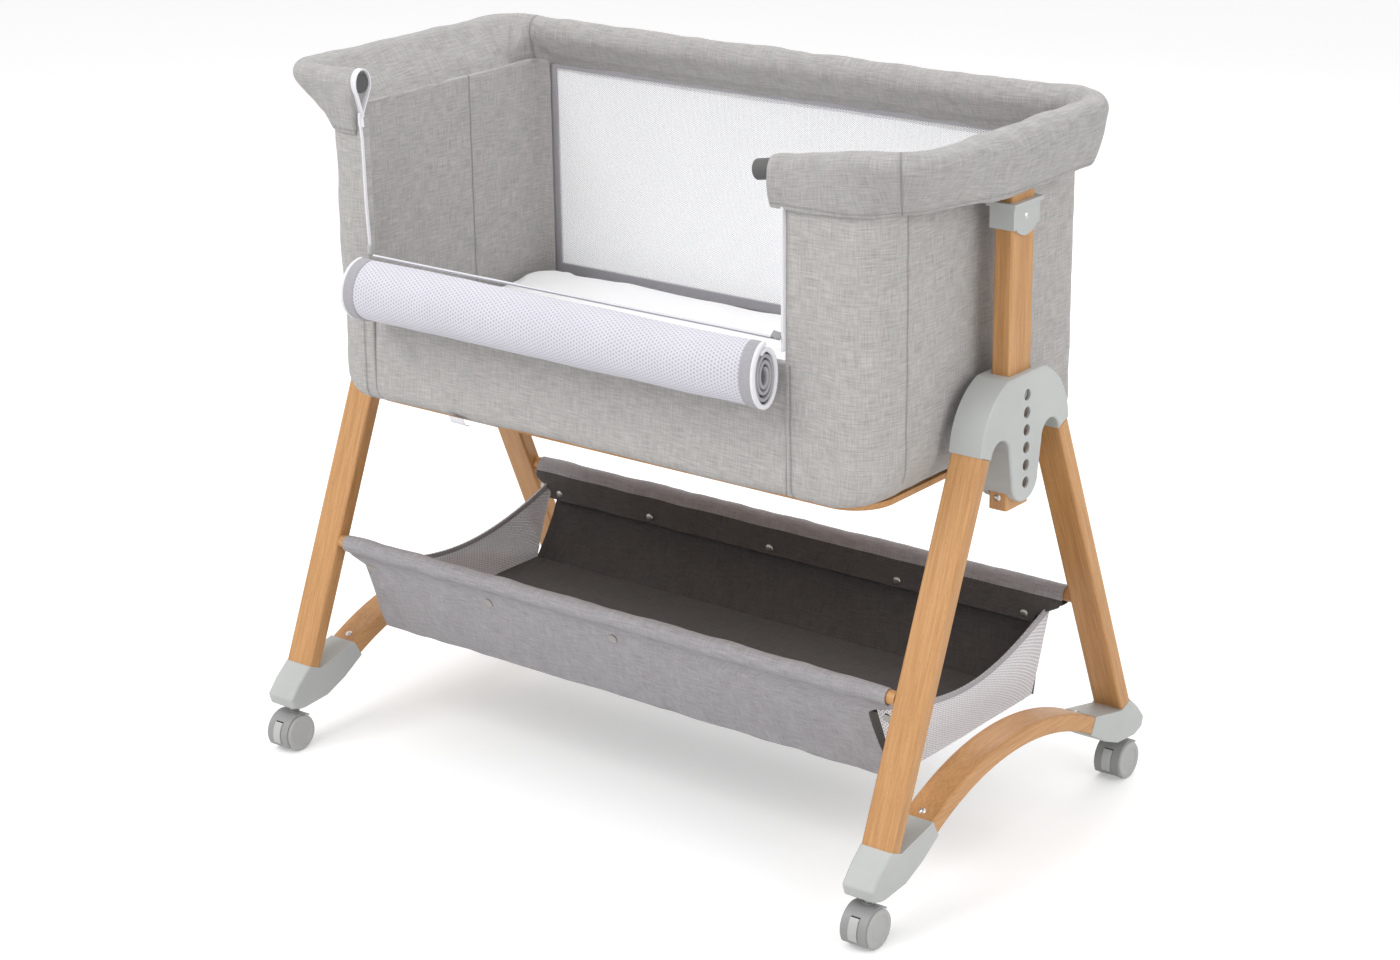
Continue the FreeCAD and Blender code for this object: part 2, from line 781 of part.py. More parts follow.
def sector_body(label, inner, outer, low, high, half_cell):
    profile = sector(inner, outer, low, high)
    return body_from(label, "YZ_Plane", "-" + half_cell, profile, "2 * Sizes." + half_cell)[0]


def make_cowl(label, side, face):
    middle_of_shell = (cowl_inner + cowl_outer) / 2
    shell = sector_body(label + "_shell", cowl_inner, cowl_outer, size("cowl_rear_angle"),
                        size("cowl_front_angle"), "cowl_half")
    web = sector_body(label + "_web", size("boss_radius"), middle_of_shell, size("cowl_rear_angle"),
                      size("cowl_front_angle"), "web_half")
    hub = cylinder(label + "_axle_boss", "Sizes.boss_radius * 1.5", "2 * Sizes.web_half",
                   (-size("web_half"), 0, 0), (1, 0, 0))
    boss = cylinder(label + "_stem_boss", "Sizes.web_half - 0.1",
                    "Sizes.cowl_gap + Sizes.cowl_thick + 1.5 + 2 * Sizes.wheel_radius - Sizes.stem_bottom_z",
                    (0, size("castor_trail"), size("stem_bottom_z") - size("wheel_radius")), (0, 0, 1))
    joined = document.addObject("Part::MultiFuse", label + "_joined")
    joined.Shapes = [shell, web, hub, boss]
    axle = cylinder(label + "_axle_bore", "Sizes.axle_radius + Sizes.axle_gap", "4 * Sizes.web_half",
                    (-2 * size("web_half"), 0, 0), (1, 0, 0))
    bore_bottom = size("stem_bottom_z") - size("wheel_radius") - size("button_rest_gap")
    stem = cylinder(label + "_stem_bore", "Sizes.stem_radius + Sizes.swivel_gap", "Sizes.stem_top_z",
                    (0, size("castor_trail"), bore_bottom), (0, 0, 1))
    pin = cylinder(label + "_lever_bore", "Sizes.lever_pin_radius + Sizes.axle_gap", "4 * Sizes.web_half",
                   (-2 * size("web_half"), lever_pivot[0], lever_pivot[1]), (1, 0, 0))
    window = document.addObject("PartDesign::Body", label + "_window_body")
    around = sector(size("lever_inner") - 2 * size("lever_gap"), lever_outer + 1.0,
                    size("lever_top_angle") - 8 * size("lever_gap"),
                    size("lever_tip_angle") + 4 * size("lever_gap"))
    sketch = outline(window, label + "_window_profile", "YZ_Plane",
                     -size("lever_half") - size("lever_gap"), around)
    pad(window, label + "_window", sketch, "2 * Sizes.lever_half + 2 * Sizes.lever_gap")
    node(cut_from(joined, [axle, stem, pin, window], label), label, castor_placement(side, face))


def make_wheels(label, side, face):
    inner = size("wheel_inner_x")
    outer = size("wheel_outer_x")
    radius = size("wheel_radius")
    rim = size("wheel_round")
    bend = rim * (1 - math.sqrt(0.5))
    half = [
        (inner, "axle_radius"),
        (inner, radius - rim),
        (inner + bend, radius - bend, "arc"),
        (inner + rim, "wheel_radius"),
        (outer - rim, "wheel_radius"),
        (outer - bend, radius - bend, "arc"),
        ("wheel_outer_x", radius - rim),
        ("wheel_outer_x", radius - 2 * rim),
        (outer - rim / 2, radius - 3 * rim),
        (outer - rim / 2, 0.0),
    ]

    def opposite(entry):
        return "-" + entry if isinstance(entry, str) else -entry

    points = [(opposite(point[0]),) + tuple(point[1:]) for point in reversed(half)]
    body = document.addObject("PartDesign::Body", label + "_body")
    sketch = outline(body, label + "_profile", "XZ_Plane", 0.0, points + half)
    turned = body.newObject("PartDesign::Revolution", label + "_turned")
    turned.Profile = sketch
    turned.ReferenceAxis = (sketch, ["H_Axis"])
    turned.Angle = 360.0
    document.recompute()
    node(body, label, castor_placement(side, face))


def make_lever(label, side, face):
    plate = sector_body(label + "_plate", size("lever_inner"), lever_outer, size("lever_top_angle"),
                        size("lever_tip_angle"), "lever_half")
    pin = cylinder(label + "_pin", "Sizes.lever_pin_radius", "2 * Sizes.web_half - Sizes.seat_gap",
                   (-size("web_half") + size("seat_gap") / 2, lever_pivot[0], lever_pivot[1]), (1, 0, 0))
    joined = document.addObject("Part::Fuse", label + "_joined")
    joined.Base = plate
    joined.Tool = pin
    node(joined, label, castor_placement(side, face))


for side_name, side in SIDES:
    for face_name, face in FACES:
        corner = "%s_%s" % (face_name, side_name)
        make_cowl("castor_hood_" + corner, side, face)
        make_wheels("castor_wheels_" + corner, side, face)
        make_lever("castor_lever_" + corner, side, face)


# ---------------------------------------------------------------- storage basket

rod_y = size("leg_top_y") + math.tan(lean) * (size("leg_top_z") - size("rod_z")) + size("rod_outward")
sleeve_inner = size("rod_radius") + size("sleeve_gap")
sleeve_outer = sleeve_inner + size("cloth_thick")
panel_top = (rod_y, size("rod_z") - (sleeve_inner + sleeve_outer) / 2)
panel_foot = (size("basket_floor_half"), size("basket_floor_z"))


def panel_y(z, outward=0.0):
    """Where the slanting panel's middle, or a face beside it, lies at a height."""
    share = (z - panel_foot[1]) / (panel_top[1] - panel_foot[1])
    return panel_foot[0] + share * (panel_top[0] - panel_foot[0]) + outward / panel_normal[0]


slope = math.atan2(panel_top[1] - panel_foot[1], panel_top[0] - panel_foot[0])
panel_normal = (math.sin(slope), -math.cos(slope))


def make_rod(label, face):
    half = leg_x - size("leg_wide") / 2
    rod = new_object("Part::Cylinder", label + "_bar", Radius="Sizes.rod_radius",
                     Height="2 * Sizes.leg_x - Sizes.leg_wide")
    node(rod, label, Placement(Vector(-half, face * rod_y, size("rod_z")), Rotation(Z_AXIS, X_AXIS)))


def make_panel(label, face):
    half = size("basket_lip_half")
    thick = size("cloth_thick") / 2
    start = Vector(-half, rod_y, size("rod_z"))
    sleeve = Part.makeCylinder(sleeve_outer, 2 * half, start, X_AXIS)
    bore = Part.makeCylinder(sleeve_inner, 2 * half, start, X_AXIS)
    slab = prism("YZ", [
        (panel_top[0] + thick * panel_normal[0], panel_top[1] + thick * panel_normal[1]),
        (panel_top[0] - thick * panel_normal[0], panel_top[1] - thick * panel_normal[1]),
        (panel_foot[0] - thick * panel_normal[0], panel_foot[1] - thick * panel_normal[1]),
        (panel_foot[0] + thick * panel_normal[0], panel_foot[1] + thick * panel_normal[1]),
    ], -half, half)
    neck_z = size("basket_neck_z")
    foot_z = size("basket_floor_z") - 2 * size("cloth_thick")
    top_z = size("rod_z") + 2 * sleeve_outer
    lip_z = size("rod_z") - sleeve_outer
    ends = [
        (size("basket_half"), foot_z),
        (size("basket_neck_half"), neck_z),
        (half, lip_z),
        (half, top_z),
        (-half, top_z),
        (-half, lip_z),
        (-size("basket_half"), foot_z),
    ]
    cutter = prism("XZ", ends, 0.0, 2 * rod_y)
    shape = sleeve.fuse(slab).cut(bore).common(cutter).removeSplitter()
    if face < 0:
        shape = shape.mirror(Vector(), X_AXIS).mirror(Vector(), Y_AXIS)
    soft_node(shape, label)


def make_basket_floor(label):
    half_y = panel_y(size("basket_floor_z"), -size("cloth_thick") / 2) - size("basket_gap")
    half_x = size("basket_half") - size("mesh_thick") - size("basket_gap")
    floor = new_object("Part::Box", label + "_board", Height="Sizes.basket_floor_thick")
    floor.Length = 2 * half_x
    floor.Width = 2 * half_y
    node(floor, label, Placement(Vector(-half_x, -half_y, size("basket_floor_z")), Rotation()))


mesh_top_z = panel_top[1] - size("cloth_thick")
mesh_outer_x = size("basket_half")
mesh_inner_x = mesh_outer_x - size("mesh_thick")


def inner_y(z):
    return panel_y(z, -size("cloth_thick") / 2) - size("basket_gap")


def droop(lower):
    """The sagging line of the mesh ends' top edge, a distance below its highest run."""
    top = mesh_top_z - lower
    return (-inner_y(top), top), (0.0, top - size("mesh_droop"), "arc"), (inner_y(top), top)


def make_mesh_ends(label):
    low_z = size("basket_floor_z")
    left, middle, right = droop(size("binding_high"))
    points = [left, middle, right, (inner_y(low_z), low_z), (-inner_y(low_z), low_z)]
    panel = prism("YZ", points, mesh_inner_x, mesh_outer_x)
    group_node([panel, panel.mirror(Vector(), X_AXIS)], label)


def make_bindings(label):
    left, middle, right = droop(0.0)
    low_left, low_middle, low_right = droop(size("binding_high"))
    out = (size("binding_thick") - size("mesh_thick")) / 2
    band = [left, middle, right, low_right, low_middle, low_left]
    strip = prism("YZ", band, mesh_inner_x - out, mesh_outer_x + out)
    group_node([strip, strip.mirror(Vector(), X_AXIS)], label)


def make_snaps(label):
    snaps = []
    z = size("rod_z") - size("snap_drop")
    surface = Vector(0, panel_y(z, size("cloth_thick") / 2), z)
    for index in range(int(size("snap_count"))):
        x = size("snap_start") - index * size("snap_pitch")
        snap = Part.makeCylinder(size("snap_radius"), size("snap_high"), surface + Vector(x, 0, 0),
                                 Vector(0, panel_normal[0], panel_normal[1]))
        twin = snap.copy()
        twin.rotate(Vector(0, 0, 0), Z_AXIS, 180)
        snaps += [snap, twin]
    group_node(snaps, label)


for face_name, face in FACES:
    make_rod("basket_rod_" + face_name, face)
    make_panel("basket_panel_" + face_name, face)
make_basket_floor("basket_floor")
make_mesh_ends("basket_mesh_ends")
make_bindings("basket_bindings")
make_snaps("basket_snaps")


# ---------------------------------------------------------------- posts, buttons and brackets

button_nose_x = shell_high_x - size("index_wall") - size("button_rest_gap")
button_heel_x = button_nose_x - size("button_long")
bore_end_x = post_outer_x - size("button_bore_deep")
post_top_z = size("rail_z") - size("tube_radius") - size("rail_gap")
post_middle_x = (post_outer_x + post_inner_x) / 2
POST_SCREW = ((post_middle_x, -post_half, size("post_screw_z")), (0, 1, 0))
BRACKET_SCREW = ((post_outer_x + size("bracket_wall"), 0, size("bracket_screw_z")), (-1, 0, 0))


def post_screws(side):
    """Both screws of a post before it is turned to its side; the low one ends up in front."""
    (x, y, z), (along_x, along_y, along_z) = POST_SCREW
    return [((x, side * y, z), (along_x, side * along_y, along_z)), BRACKET_SCREW]


def make_post(label, side):
    body = document.addObject("PartDesign::Body", label + "_body")
    section = rectangle(body, label + "_section", "post_thick", "post_wide", None)
    bar = pad(body, label + "_bar", section,
              "Sizes.rail_z - Sizes.tube_radius - Sizes.rail_gap - Sizes.post_bottom_z")
    long_way = post_top_z - size("post_bottom_z")

    def upright(edge):
        return abs(edge.Length - long_way) < 0.01

    round_edges(body, label + "_edges", bar, "Sizes.post_edge_round", upright)
    body.Placement = Placement(Vector(post_middle_x, 0, size("post_bottom_z")), Rotation())
    bore = cylinder(label + "_button_bore", "Sizes.button_radius + Sizes.button_gap",
                    "Sizes.button_bore_deep + 1", (bore_end_x, 0, size("hole_top_z")), (1, 0, 0))
    tools = [bore]
    for number, (at, inward) in enumerate(post_screws(side)):
        tools.append(screw_hole("%s_screw_hole_%d" % (label, number), at, inward))
    node(cut_from(body, tools, label), label, turned_about(0, side < 0))


def make_button(label, side):
    barrel = cylinder(label + "_barrel", "Sizes.button_radius", "Sizes.button_long",
                      (button_heel_x, 0, size("hole_top_z")), (1, 0, 0))
    rim = document.addObject("Part::Chamfer", label + "_rim")
    rim.Base = barrel
    document.recompute()
    edges = []
    for number, edge in enumerate(barrel.Shape.Edges, start=1):
        if edge.Closed and abs(edge.CenterOfMass.x - button_nose_x) < 0.01:
            edges.append((number, size("button_rim"), size("button_rim")))
    rim.Edges = edges
    node(rim, label, turned_about(0, side < 0))


def make_spring(label, side):
    outer = cylinder(label + "_outer", "Sizes.spring_radius", str(button_heel_x - bore_end_x),
                     (bore_end_x, 0, size("hole_top_z")), (1, 0, 0))
    inner = cylinder(label + "_inner", "Sizes.spring_radius - Sizes.spring_wall",
                     str(button_heel_x - bore_end_x), (bore_end_x, 0, size("hole_top_z")), (1, 0, 0))
    node(cut_from(outer, [inner], label), label, turned_about(0, side < 0))


def post_box(name, grow, low_z, high_z):
    box = new_object("Part::Box", name)
    box.Length = size("post_thick") + 2 * grow
    box.Width = size("post_wide") + 2 * grow
    box.Height = high_z - low_z
    box.Placement = Placement(Vector(post_inner_x - grow, -post_half - grow, low_z), Rotation())
    return box


def make_bracket(label, side):
    wall = size("bracket_wall")
    low = size("bracket_low_z")
    high = size("bracket_high_z")
    collar = post_box(label + "_collar", wall, low, high)
    lip = post_box(label + "_lip", wall + size("bracket_lip"), high - size("bracket_lip_high"), high)
    tongue_z = low + post_half + wall - size("bracket_tip_drop")
    tongue = cylinder(label + "_tongue", "Sizes.post_wide / 2 + Sizes.bracket_wall",
                      "Sizes.bracket_wall", (post_outer_x, 0, tongue_z), (1, 0, 0))
    joined = document.addObject("Part::MultiFuse", label + "_joined")
    joined.Shapes = [collar, lip, tongue]
    hollow = post_box(label + "_hollow", size("seat_gap"), low - post_half, high + 1.0)
    above = post_box(label + "_above", post_half, high, high + post_half)
    hole = screw_hole(label + "_screw_hole", *BRACKET_SCREW)
    node(cut_from(joined, [hollow, above, hole], label), label, turned_about(0, side < 0))


bassinet_screws = []
for side_name, side in SIDES:
    make_post("post_" + side_name, side)
    make_button("height_button_" + side_name, side)
    make_spring("button_spring_" + side_name, side)
    make_bracket("rail_bracket_" + side_name, side)
    for at, inward in post_screws(side):
        screw = screw_form(at, inward)
        if side < 0:
            screw.rotate(Vector(0, 0, 0), Z_AXIS, 180)
        bassinet_screws.append(screw)
group_node(bassinet_screws, "bassinet_screws")


# ---------------------------------------------------------------- padded rail and its tube


def tub_distance(x, y):
    """Signed distance outside the tub's plan outline."""
    if y < 0:
        radius = size("tub_front_round")
        over_y = -y - size("tub_front_y") + radius
    else:
        radius = size("tub_back_round")
        over_y = y - size("tub_back_y") + radius
    over_x = abs(x) - size("tub_half_x") + radius
    return math.hypot(max(over_x, 0), max(over_y, 0)) + min(max(over_x, over_y), 0) - radius


def reach_to_tub(point, normal):
    low = -size("rail_corner")
    high = size("rail_corner")
    while high - low > 1e-9:
        middle = (low + high) / 2
        if tub_distance(point[0] + middle * normal[0], point[1] + middle * normal[1]) < 0:
            low = middle
        else:
            high = middle
    return (low + high) / 2


def rail_stations(corner_steps, grow=0.0):
    """Points and outward directions along the rail, from the left return's end to the right's."""
    half_x = size("rail_half_x")
    front_y = -size("rail_front_y")
    radius = size("rail_corner")
    middle_x = half_x - radius
    near_y = front_y + radius
    far_y = size("rail_back_y") - radius
    stations = [((-size("rail_left_x") + grow, front_y), (0, -1), 0.0)]
    for centre, start in (((-middle_x, near_y), 270), ((-middle_x, far_y), 180),
                          ((middle_x, far_y), 90), ((middle_x, near_y), 0)):
        for step in range(corner_steps + 1):
            angle = math.radians(start - 90.0 * step / corner_steps)
            normal = (math.cos(angle), math.sin(angle))
            stations.append(((centre[0] + radius * normal[0], centre[1] + radius * normal[1]), normal, 0.0))
    stations.append(((size("rail_right_x") - grow, front_y), (0, -1), size("rail_right_drop")))
    return stations


def hem_reach(station):
    """How far out from the rail's line the outer hem hangs: close to the tub, or past the post."""
    place, normal = station[0], station[1]
    close = reach_to_tub(place, normal) + size("hem_step")
    past_post = post_outer_x + size("hem_past_post") - size("rail_half_x")
    flare = (place[1] + size("hem_flare_y")) / (size("hem_flare_y") - post_half - size("rail_gap"))
    flare = min(max(flare, 0.0), 1.0)
    return close + flare * flare * (3 - 2 * flare) * normal[0] ** 2 * (past_post - close)


def run_sections(first, last):
    """Sections between two on a straight run, closer together where the hem bends."""
    (first_x, first_y), normal, first_drop = first
    (last_x, last_y), last_normal, last_drop = last
    if abs(normal[0] - last_normal[0]) > 0.01 or math.dist(first[0], last[0]) < 5.0:
        return []
    middle = (((first_x + last_x) / 2, (first_y + last_y) / 2), normal, (first_drop + last_drop) / 2)
    if abs(2 * hem_reach(middle) - hem_reach(first) - hem_reach(last)) < 1.2:
        return []
    return run_sections(first, middle) + [middle] + run_sections(middle, last)


def tangent_point(outside, centre, radius, turn):
    """Where a line from a point touches a circle; turn is +1 or -1 for the side."""
    across = centre[0] - outside[0]
    up = centre[1] - outside[1]
    far = math.hypot(across, up)
    heading = math.atan2(up, across) + turn * math.asin(radius / far)
    long = math.sqrt(far ** 2 - radius ** 2)
    return (outside[0] + long * math.cos(heading), outside[1] + long * math.sin(heading))


def rail_section(station, grow):
    (x, y), normal, drop = station
    centre = (0.0, size("rail_z") - drop)
    radius = size("rail_pad") + grow
    hem_in = reach_to_tub((x, y), normal) + size("hem_step") - size("hem_thick")
    low_out = (hem_reach(station) + grow, size("hem_outer_z") - 2.5 * grow)
    low_in = (hem_in - 2 * grow, size("hem_inner_z") - 3.5 * grow)
    first = tangent_point(low_out, centre, radius, -1)
    last = tangent_point(low_in, centre, radius, 1)
    from_angle = math.atan2(first[1] - centre[1], first[0] - centre[0])
    to_angle = math.atan2(last[1] - centre[1], last[0] - centre[0])
    if to_angle < from_angle:
        to_angle += 2 * math.pi

    def lift(point):
        return Vector(x + point[0] * normal[0], y + point[0] * normal[1], point[1])

    def on_pad(share):
        angle = from_angle + share * (to_angle - from_angle)
        return lift((centre[0] + radius * math.cos(angle), centre[1] + radius * math.sin(angle)))

    edges = [Part.LineSegment(lift(low_out), on_pad(0)).toShape()]
    for third in range(3):
        arc = Part.Arc(on_pad(third / 3), on_pad((third + 0.5) / 3), on_pad((third + 1) / 3))
        edges.append(arc.toShape())
    edges.append(Part.LineSegment(on_pad(1), lift(low_in)).toShape())
    edges.append(Part.LineSegment(lift(low_in), lift(low_out)).toShape())
    return Part.Wire(edges)


def rail_form(grow):
    corners = rail_stations(6, grow)
    stations = corners[:1]
    for corner in corners[1:]:
        stations += run_sections(stations[-1], corner) + [corner]
    return Part.makeLoft([rail_section(station, grow) for station in stations], True, True)


def tube_path():
    points = []
    for station in rail_stations(2):
        (x, y), drop = station[0], station[2]
        points.append(Vector(x, y, size("rail_z") - drop))
    edges = [Part.LineSegment(points[0], points[1]).toShape()]
    for corner in range(4):
        first = 1 + 3 * corner
        edges.append(Part.Arc(points[first], points[first + 1], points[first + 2]).toShape())
        edges.append(Part.LineSegment(points[first + 2], points[first + 3]).toShape())
    return edges, points


def tube_form(radius):
    """Straight runs and quarter bends joined end to end along the rail's path."""
    edges, points = tube_path()
    pieces = []
    for edge in edges:
        start = edge.valueAt(edge.FirstParameter)
        direction = edge.tangentAt(edge.FirstParameter)
        ring = Part.Wire(Part.makeCircle(radius, start, direction))
        pieces.append(Part.Wire([edge]).makePipeShell([ring], True, True))
    joined = pieces[0]
    for piece in pieces[1:]:
        joined = joined.fuse(piece)
    joint = Part.makeSphere(radius, points[-2])
    return joined.fuse(joint).removeSplitter()


def post_slot(grow):
    low = (post_inner_x - grow, -post_half - grow, size("post_bottom_z"))
    high = (post_outer_x + grow, post_half + grow, post_top_z + grow)
    slot = block(low, high)
    twin = slot.mirror(Vector(), X_AXIS)
    return slot.fuse(twin)


tube_hollow = tube_form(size("tube_radius") + size("rail_gap"))
rail_solid = rail_form(0.0)
rail_clear = rail_form(size("rail_gap"))
path_points = tube_path()[1]
right_run = path_points[-1] - path_points[-2]
right_run.normalize()


def end_plugs(grow):
    radius = size("plug_radius") + grow
    return [
        Part.makeCylinder(radius, size("plug_left_long"), path_points[0], X_AXIS),
        Part.makeCylinder(radius, size("plug_right_long"), path_points[-1], right_run),
    ]


rail_body = rail_solid.cut(tube_hollow).cut(post_slot(size("rail_gap")))
for plug_room in end_plugs(size("rail_gap")):
    rail_body = rail_body.cut(plug_room)
soft_node(rail_body, "padded_rail")
soft_node(tube_form(size("tube_radius")), "rail_tube")
group_node(end_plugs(0.0), "rail_end_plugs")


# ---------------------------------------------------------------- fabric tub

TUB_TOP_Z = size("rail_z") - 2 * size("rail_pad")


def tub_form(inset):
    front = size("tub_front_round") - inset
    back = size("tub_back_round") - inset
    end = size("tub_end_round") - inset
    under = max(size("tub_side_round") - inset, 1.0)
    x_half = size("tub_half_x") - inset
    y_range = (-size("tub_front_y") + inset, size("tub_back_y") - inset)
    z_range = (size("tub_bottom_z") + inset, TUB_TOP_Z)
    return rounded_form((-x_half, x_half), y_range, z_range, (front, front, back, back),
                        (end, end, 0, 0), (under, under, 0, 0))


wall = size("tub_wall")
gap = size("panel_gap")
tub_shell = tub_form(0.0).cut(tub_form(wall)).cut(rail_clear)
floor_x = size("floor_half_x")
floor_y = size("floor_half_y")
bottom = size("tub_bottom_z") - 1
window_half = size("window_half")
window_low = size("window_bottom_z")
far = 2 * size("tub_half_x")


def zone(x_low, x_high, y_low, y_high, z_low, z_high, grow):
    return block((x_low - grow, y_low - grow, z_low - grow), (x_high + grow, y_high + grow, z_high + grow))


floor_zone = zone(-floor_x, floor_x, -floor_y, floor_y, bottom, bottom + 2 * wall, 0)
soft_node(tub_shell.common(floor_zone), "tub_floor")
soft_node(tub_shell.common(zone(-window_half, window_half, floor_y + gap, far, bottom, window_low, 0)),
          "tub_back_wall")
right_end = tub_shell.common(zone(0, far, -far, far, bottom, far, 0))
left_end = tub_shell.common(zone(-far, 0, -far, far, bottom, far, 0))
for other in (
        zone(-floor_x, floor_x, -floor_y, floor_y, bottom - wall, bottom + 2 * wall, gap),
        zone(-window_half, window_half, floor_y, far, bottom - wall, far, gap),
        zone(-size("opening_left_x"), size("opening_right_x"), -far, -floor_y, bottom - wall, far, gap)):
    right_end = right_end.cut(other)
    left_end = left_end.cut(other)
soft_node(left_end, "tub_end_wall_left")
soft_node(right_end, "tub_end_wall_right")

roll_back_y = -size("roll_y") + size("roll_radius") - 0.75 * size("roll_pitch")


def make_front_wall(label):
    """The low wall leans in at its top, where the rolled panel rests against it."""
    outer = -size("tub_front_y")
    under = size("tub_side_round")
    low = size("tub_bottom_z")
    top = size("front_wall_top_z")
    lean_in = roll_back_y + 2 * gap
    inner_under = under - wall
    turn = 1 - math.sqrt(0.5)
    points = [
        (-floor_y - gap, low),
        (outer + under, low),
        (outer + under * turn, low + under * turn, "arc"),
        (outer, low + under),
        (lean_in, top),
        (lean_in + wall, top),
        (outer + wall, low + under),
        (outer + wall + inner_under * turn, low + wall + inner_under * turn, "arc"),
        (outer + under, low + wall),
        (-floor_y - gap, low + wall),
    ]
    soft_node(prism("YZ", points, -size("opening_left_x"), size("opening_right_x")), label)


def make_window(mesh_label, binding_label):
    outer = size("tub_back_y")
    middle = outer - wall / 2
    top = TUB_TOP_Z
    low = window_low + gap
    half = window_half
    mesh = block((-half, middle - size("window_mesh_thick"), low), (half, middle, top)).cut(rail_clear)
    soft_node(mesh, mesh_label)
    high = (half, outer, top)
    frame = block((-half, middle, low), high)
    band = size("window_band")
    inside = block((-half + band, middle - 1, low + band),
                   (half - band, outer + 1, size("hem_outer_z") - band))
    soft_node(frame.cut(inside).cut(rail_clear), binding_label)


make_front_wall("tub_front_wall")
make_window("window_mesh", "window_binding")


def make_board(label):
    half_x = size("board_half_x")
    half_y = size("board_half_y")
    corner = size("board_round")
    points = rounded_outline(-half_x, half_x, -half_y, half_y, (corner,) * 4)
    body, solid = body_from(label, "XY_Plane", size("tub_bottom_z") - size("board_thick"), points,
                            "Sizes.board_thick")

    def lower(edge):
        return edge.CenterOfMass.z < size("tub_bottom_z") - size("board_thick") + 0.01

    round_edges(body, label + "_edges", solid, "Sizes.board_edge_round", lower)
    node(body, label)


def make_mattress(label):
    """A soft slab: a crowned top, sides drawn in towards it and bottom corners to fit the tub."""
    low = size("tub_bottom_z") + wall + gap
    top = size("mattress_top_z")
    edge_z = top - size("mattress_crown")
    draw = size("mattress_draw")
    half_x = size("tub_half_x") - wall - size("mattress_gap")
    front = size("tub_front_y") - wall - 3 * size("mattress_gap")
    back = size("tub_back_y") - wall - size("mattress_gap")

    def crowned(low_a, high_a, bend):
        corner = bend * (1 - math.sqrt(0.5))
        side_z = (low + bend + edge_z) / 2
        bulge = draw / 5
        return [
            (low_a + bend, low),
            (high_a - bend, low),
            (high_a - corner, low + corner, "arc"),
            (high_a, low + bend),
            (high_a - draw / 2 + bulge, side_z, "arc"),
            (high_a - draw, edge_z),
            ((low_a + high_a) / 2, top, "arc"),
            (low_a + draw, edge_z),
            (low_a + draw / 2 - bulge, side_z, "arc"),
            (low_a, low + bend),
            (low_a + corner, low + corner, "arc"),
        ]

    corner = size("mattress_corner")
    clear = size("mattress_draw")
    around = rounded_outline(-half_x - clear, half_x + clear, -front - clear, back + clear, (corner,) * 4)
    plan = prism("XY", around, low - clear, top + clear)
    long_way = prism("XZ", crowned(-half_x, half_x, size("tub_end_round") - wall), -front, back)
    short_way = prism("YZ", crowned(-front, back, size("tub_side_round") - wall), -half_x, half_x)
    soft_node(plan.common(long_way).common(short_way), label)


make_board("base_board")
make_mattress("mattress")


# ---------------------------------------------------------------- rolled-down front panel


def spiral_outline(outer_radius, sheet_thick):
    """Both faces of the rolled sheet, as quarter-turn arcs of a steadily shrinking spiral."""
    quarters = int(size("roll_turns") * 4)

    def at(radius, quarter):
        angle = math.radians(90.0 + 90.0 * quarter)
        shrunk = radius - size("roll_pitch") * quarter / 4
        return (-size("roll_y") + shrunk * math.cos(angle), size("roll_z") + shrunk * math.sin(angle))

    points = []
    for quarter in range(quarters):
        points.append(at(outer_radius, quarter))
        points.append(at(outer_radius, quarter + 0.5) + ("arc",))
    points.append(at(outer_radius, quarters))
    for quarter in range(quarters, 0, -1):
        points.append(at(outer_radius - sheet_thick, quarter))
        points.append(at(outer_radius - sheet_thick, quarter - 0.5) + ("arc",))
    points.append(at(outer_radius - sheet_thick, 0))
    return points


roll_outline = spiral_outline(size("roll_radius"), size("roll_sheet"))
roll_low = -size("roll_left_x")
roll_high = size("roll_right_x")
end_long = size("roll_end_long")
soft_node(prism("YZ", roll_outline, roll_low + end_long, roll_high - end_long), "rolled_panel")
group_node([
    prism("YZ", roll_outline, roll_low, roll_low + end_long),
    prism("YZ", roll_outline, roll_high - end_long, roll_high),
], "rolled_panel_bindings")

# ---------------------------------------------------------------- checks and files

document.recompute()
faulty = [item.Label for item in document.Objects if "Invalid" in item.State or "Error" in item.State]
faulty += [item.Label for item in nodes if item.Shape.isNull() or not item.Shape.isValid()]
if faulty:
    raise RuntimeError("faulty objects: " + ", ".join(faulty))
os.makedirs("parts", exist_ok=True)
for item in nodes:
    item.Shape.exportStep(os.path.join("parts", item.Label + ".step"))
print(len(nodes), "nodes written")
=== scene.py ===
import math

import bpy
from mathutils import Matrix, Vector, noise


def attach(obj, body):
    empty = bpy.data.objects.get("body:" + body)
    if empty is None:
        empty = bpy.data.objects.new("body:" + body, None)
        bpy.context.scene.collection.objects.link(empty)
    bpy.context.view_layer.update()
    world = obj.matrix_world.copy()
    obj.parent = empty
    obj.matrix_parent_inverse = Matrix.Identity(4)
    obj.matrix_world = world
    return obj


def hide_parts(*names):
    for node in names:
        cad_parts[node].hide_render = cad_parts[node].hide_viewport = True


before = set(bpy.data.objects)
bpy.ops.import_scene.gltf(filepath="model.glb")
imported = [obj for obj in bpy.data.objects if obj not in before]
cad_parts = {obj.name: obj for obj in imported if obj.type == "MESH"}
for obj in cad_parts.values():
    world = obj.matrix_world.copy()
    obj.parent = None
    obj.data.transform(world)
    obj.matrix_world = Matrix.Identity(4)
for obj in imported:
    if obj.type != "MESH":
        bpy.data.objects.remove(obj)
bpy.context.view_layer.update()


# ---------------------------------------------------------------- camera, floor and light
# The camera looks down on the crib from its front right corner, with a long lens.
# The floor is pale and keeps the shadow; all light is broad and soft.

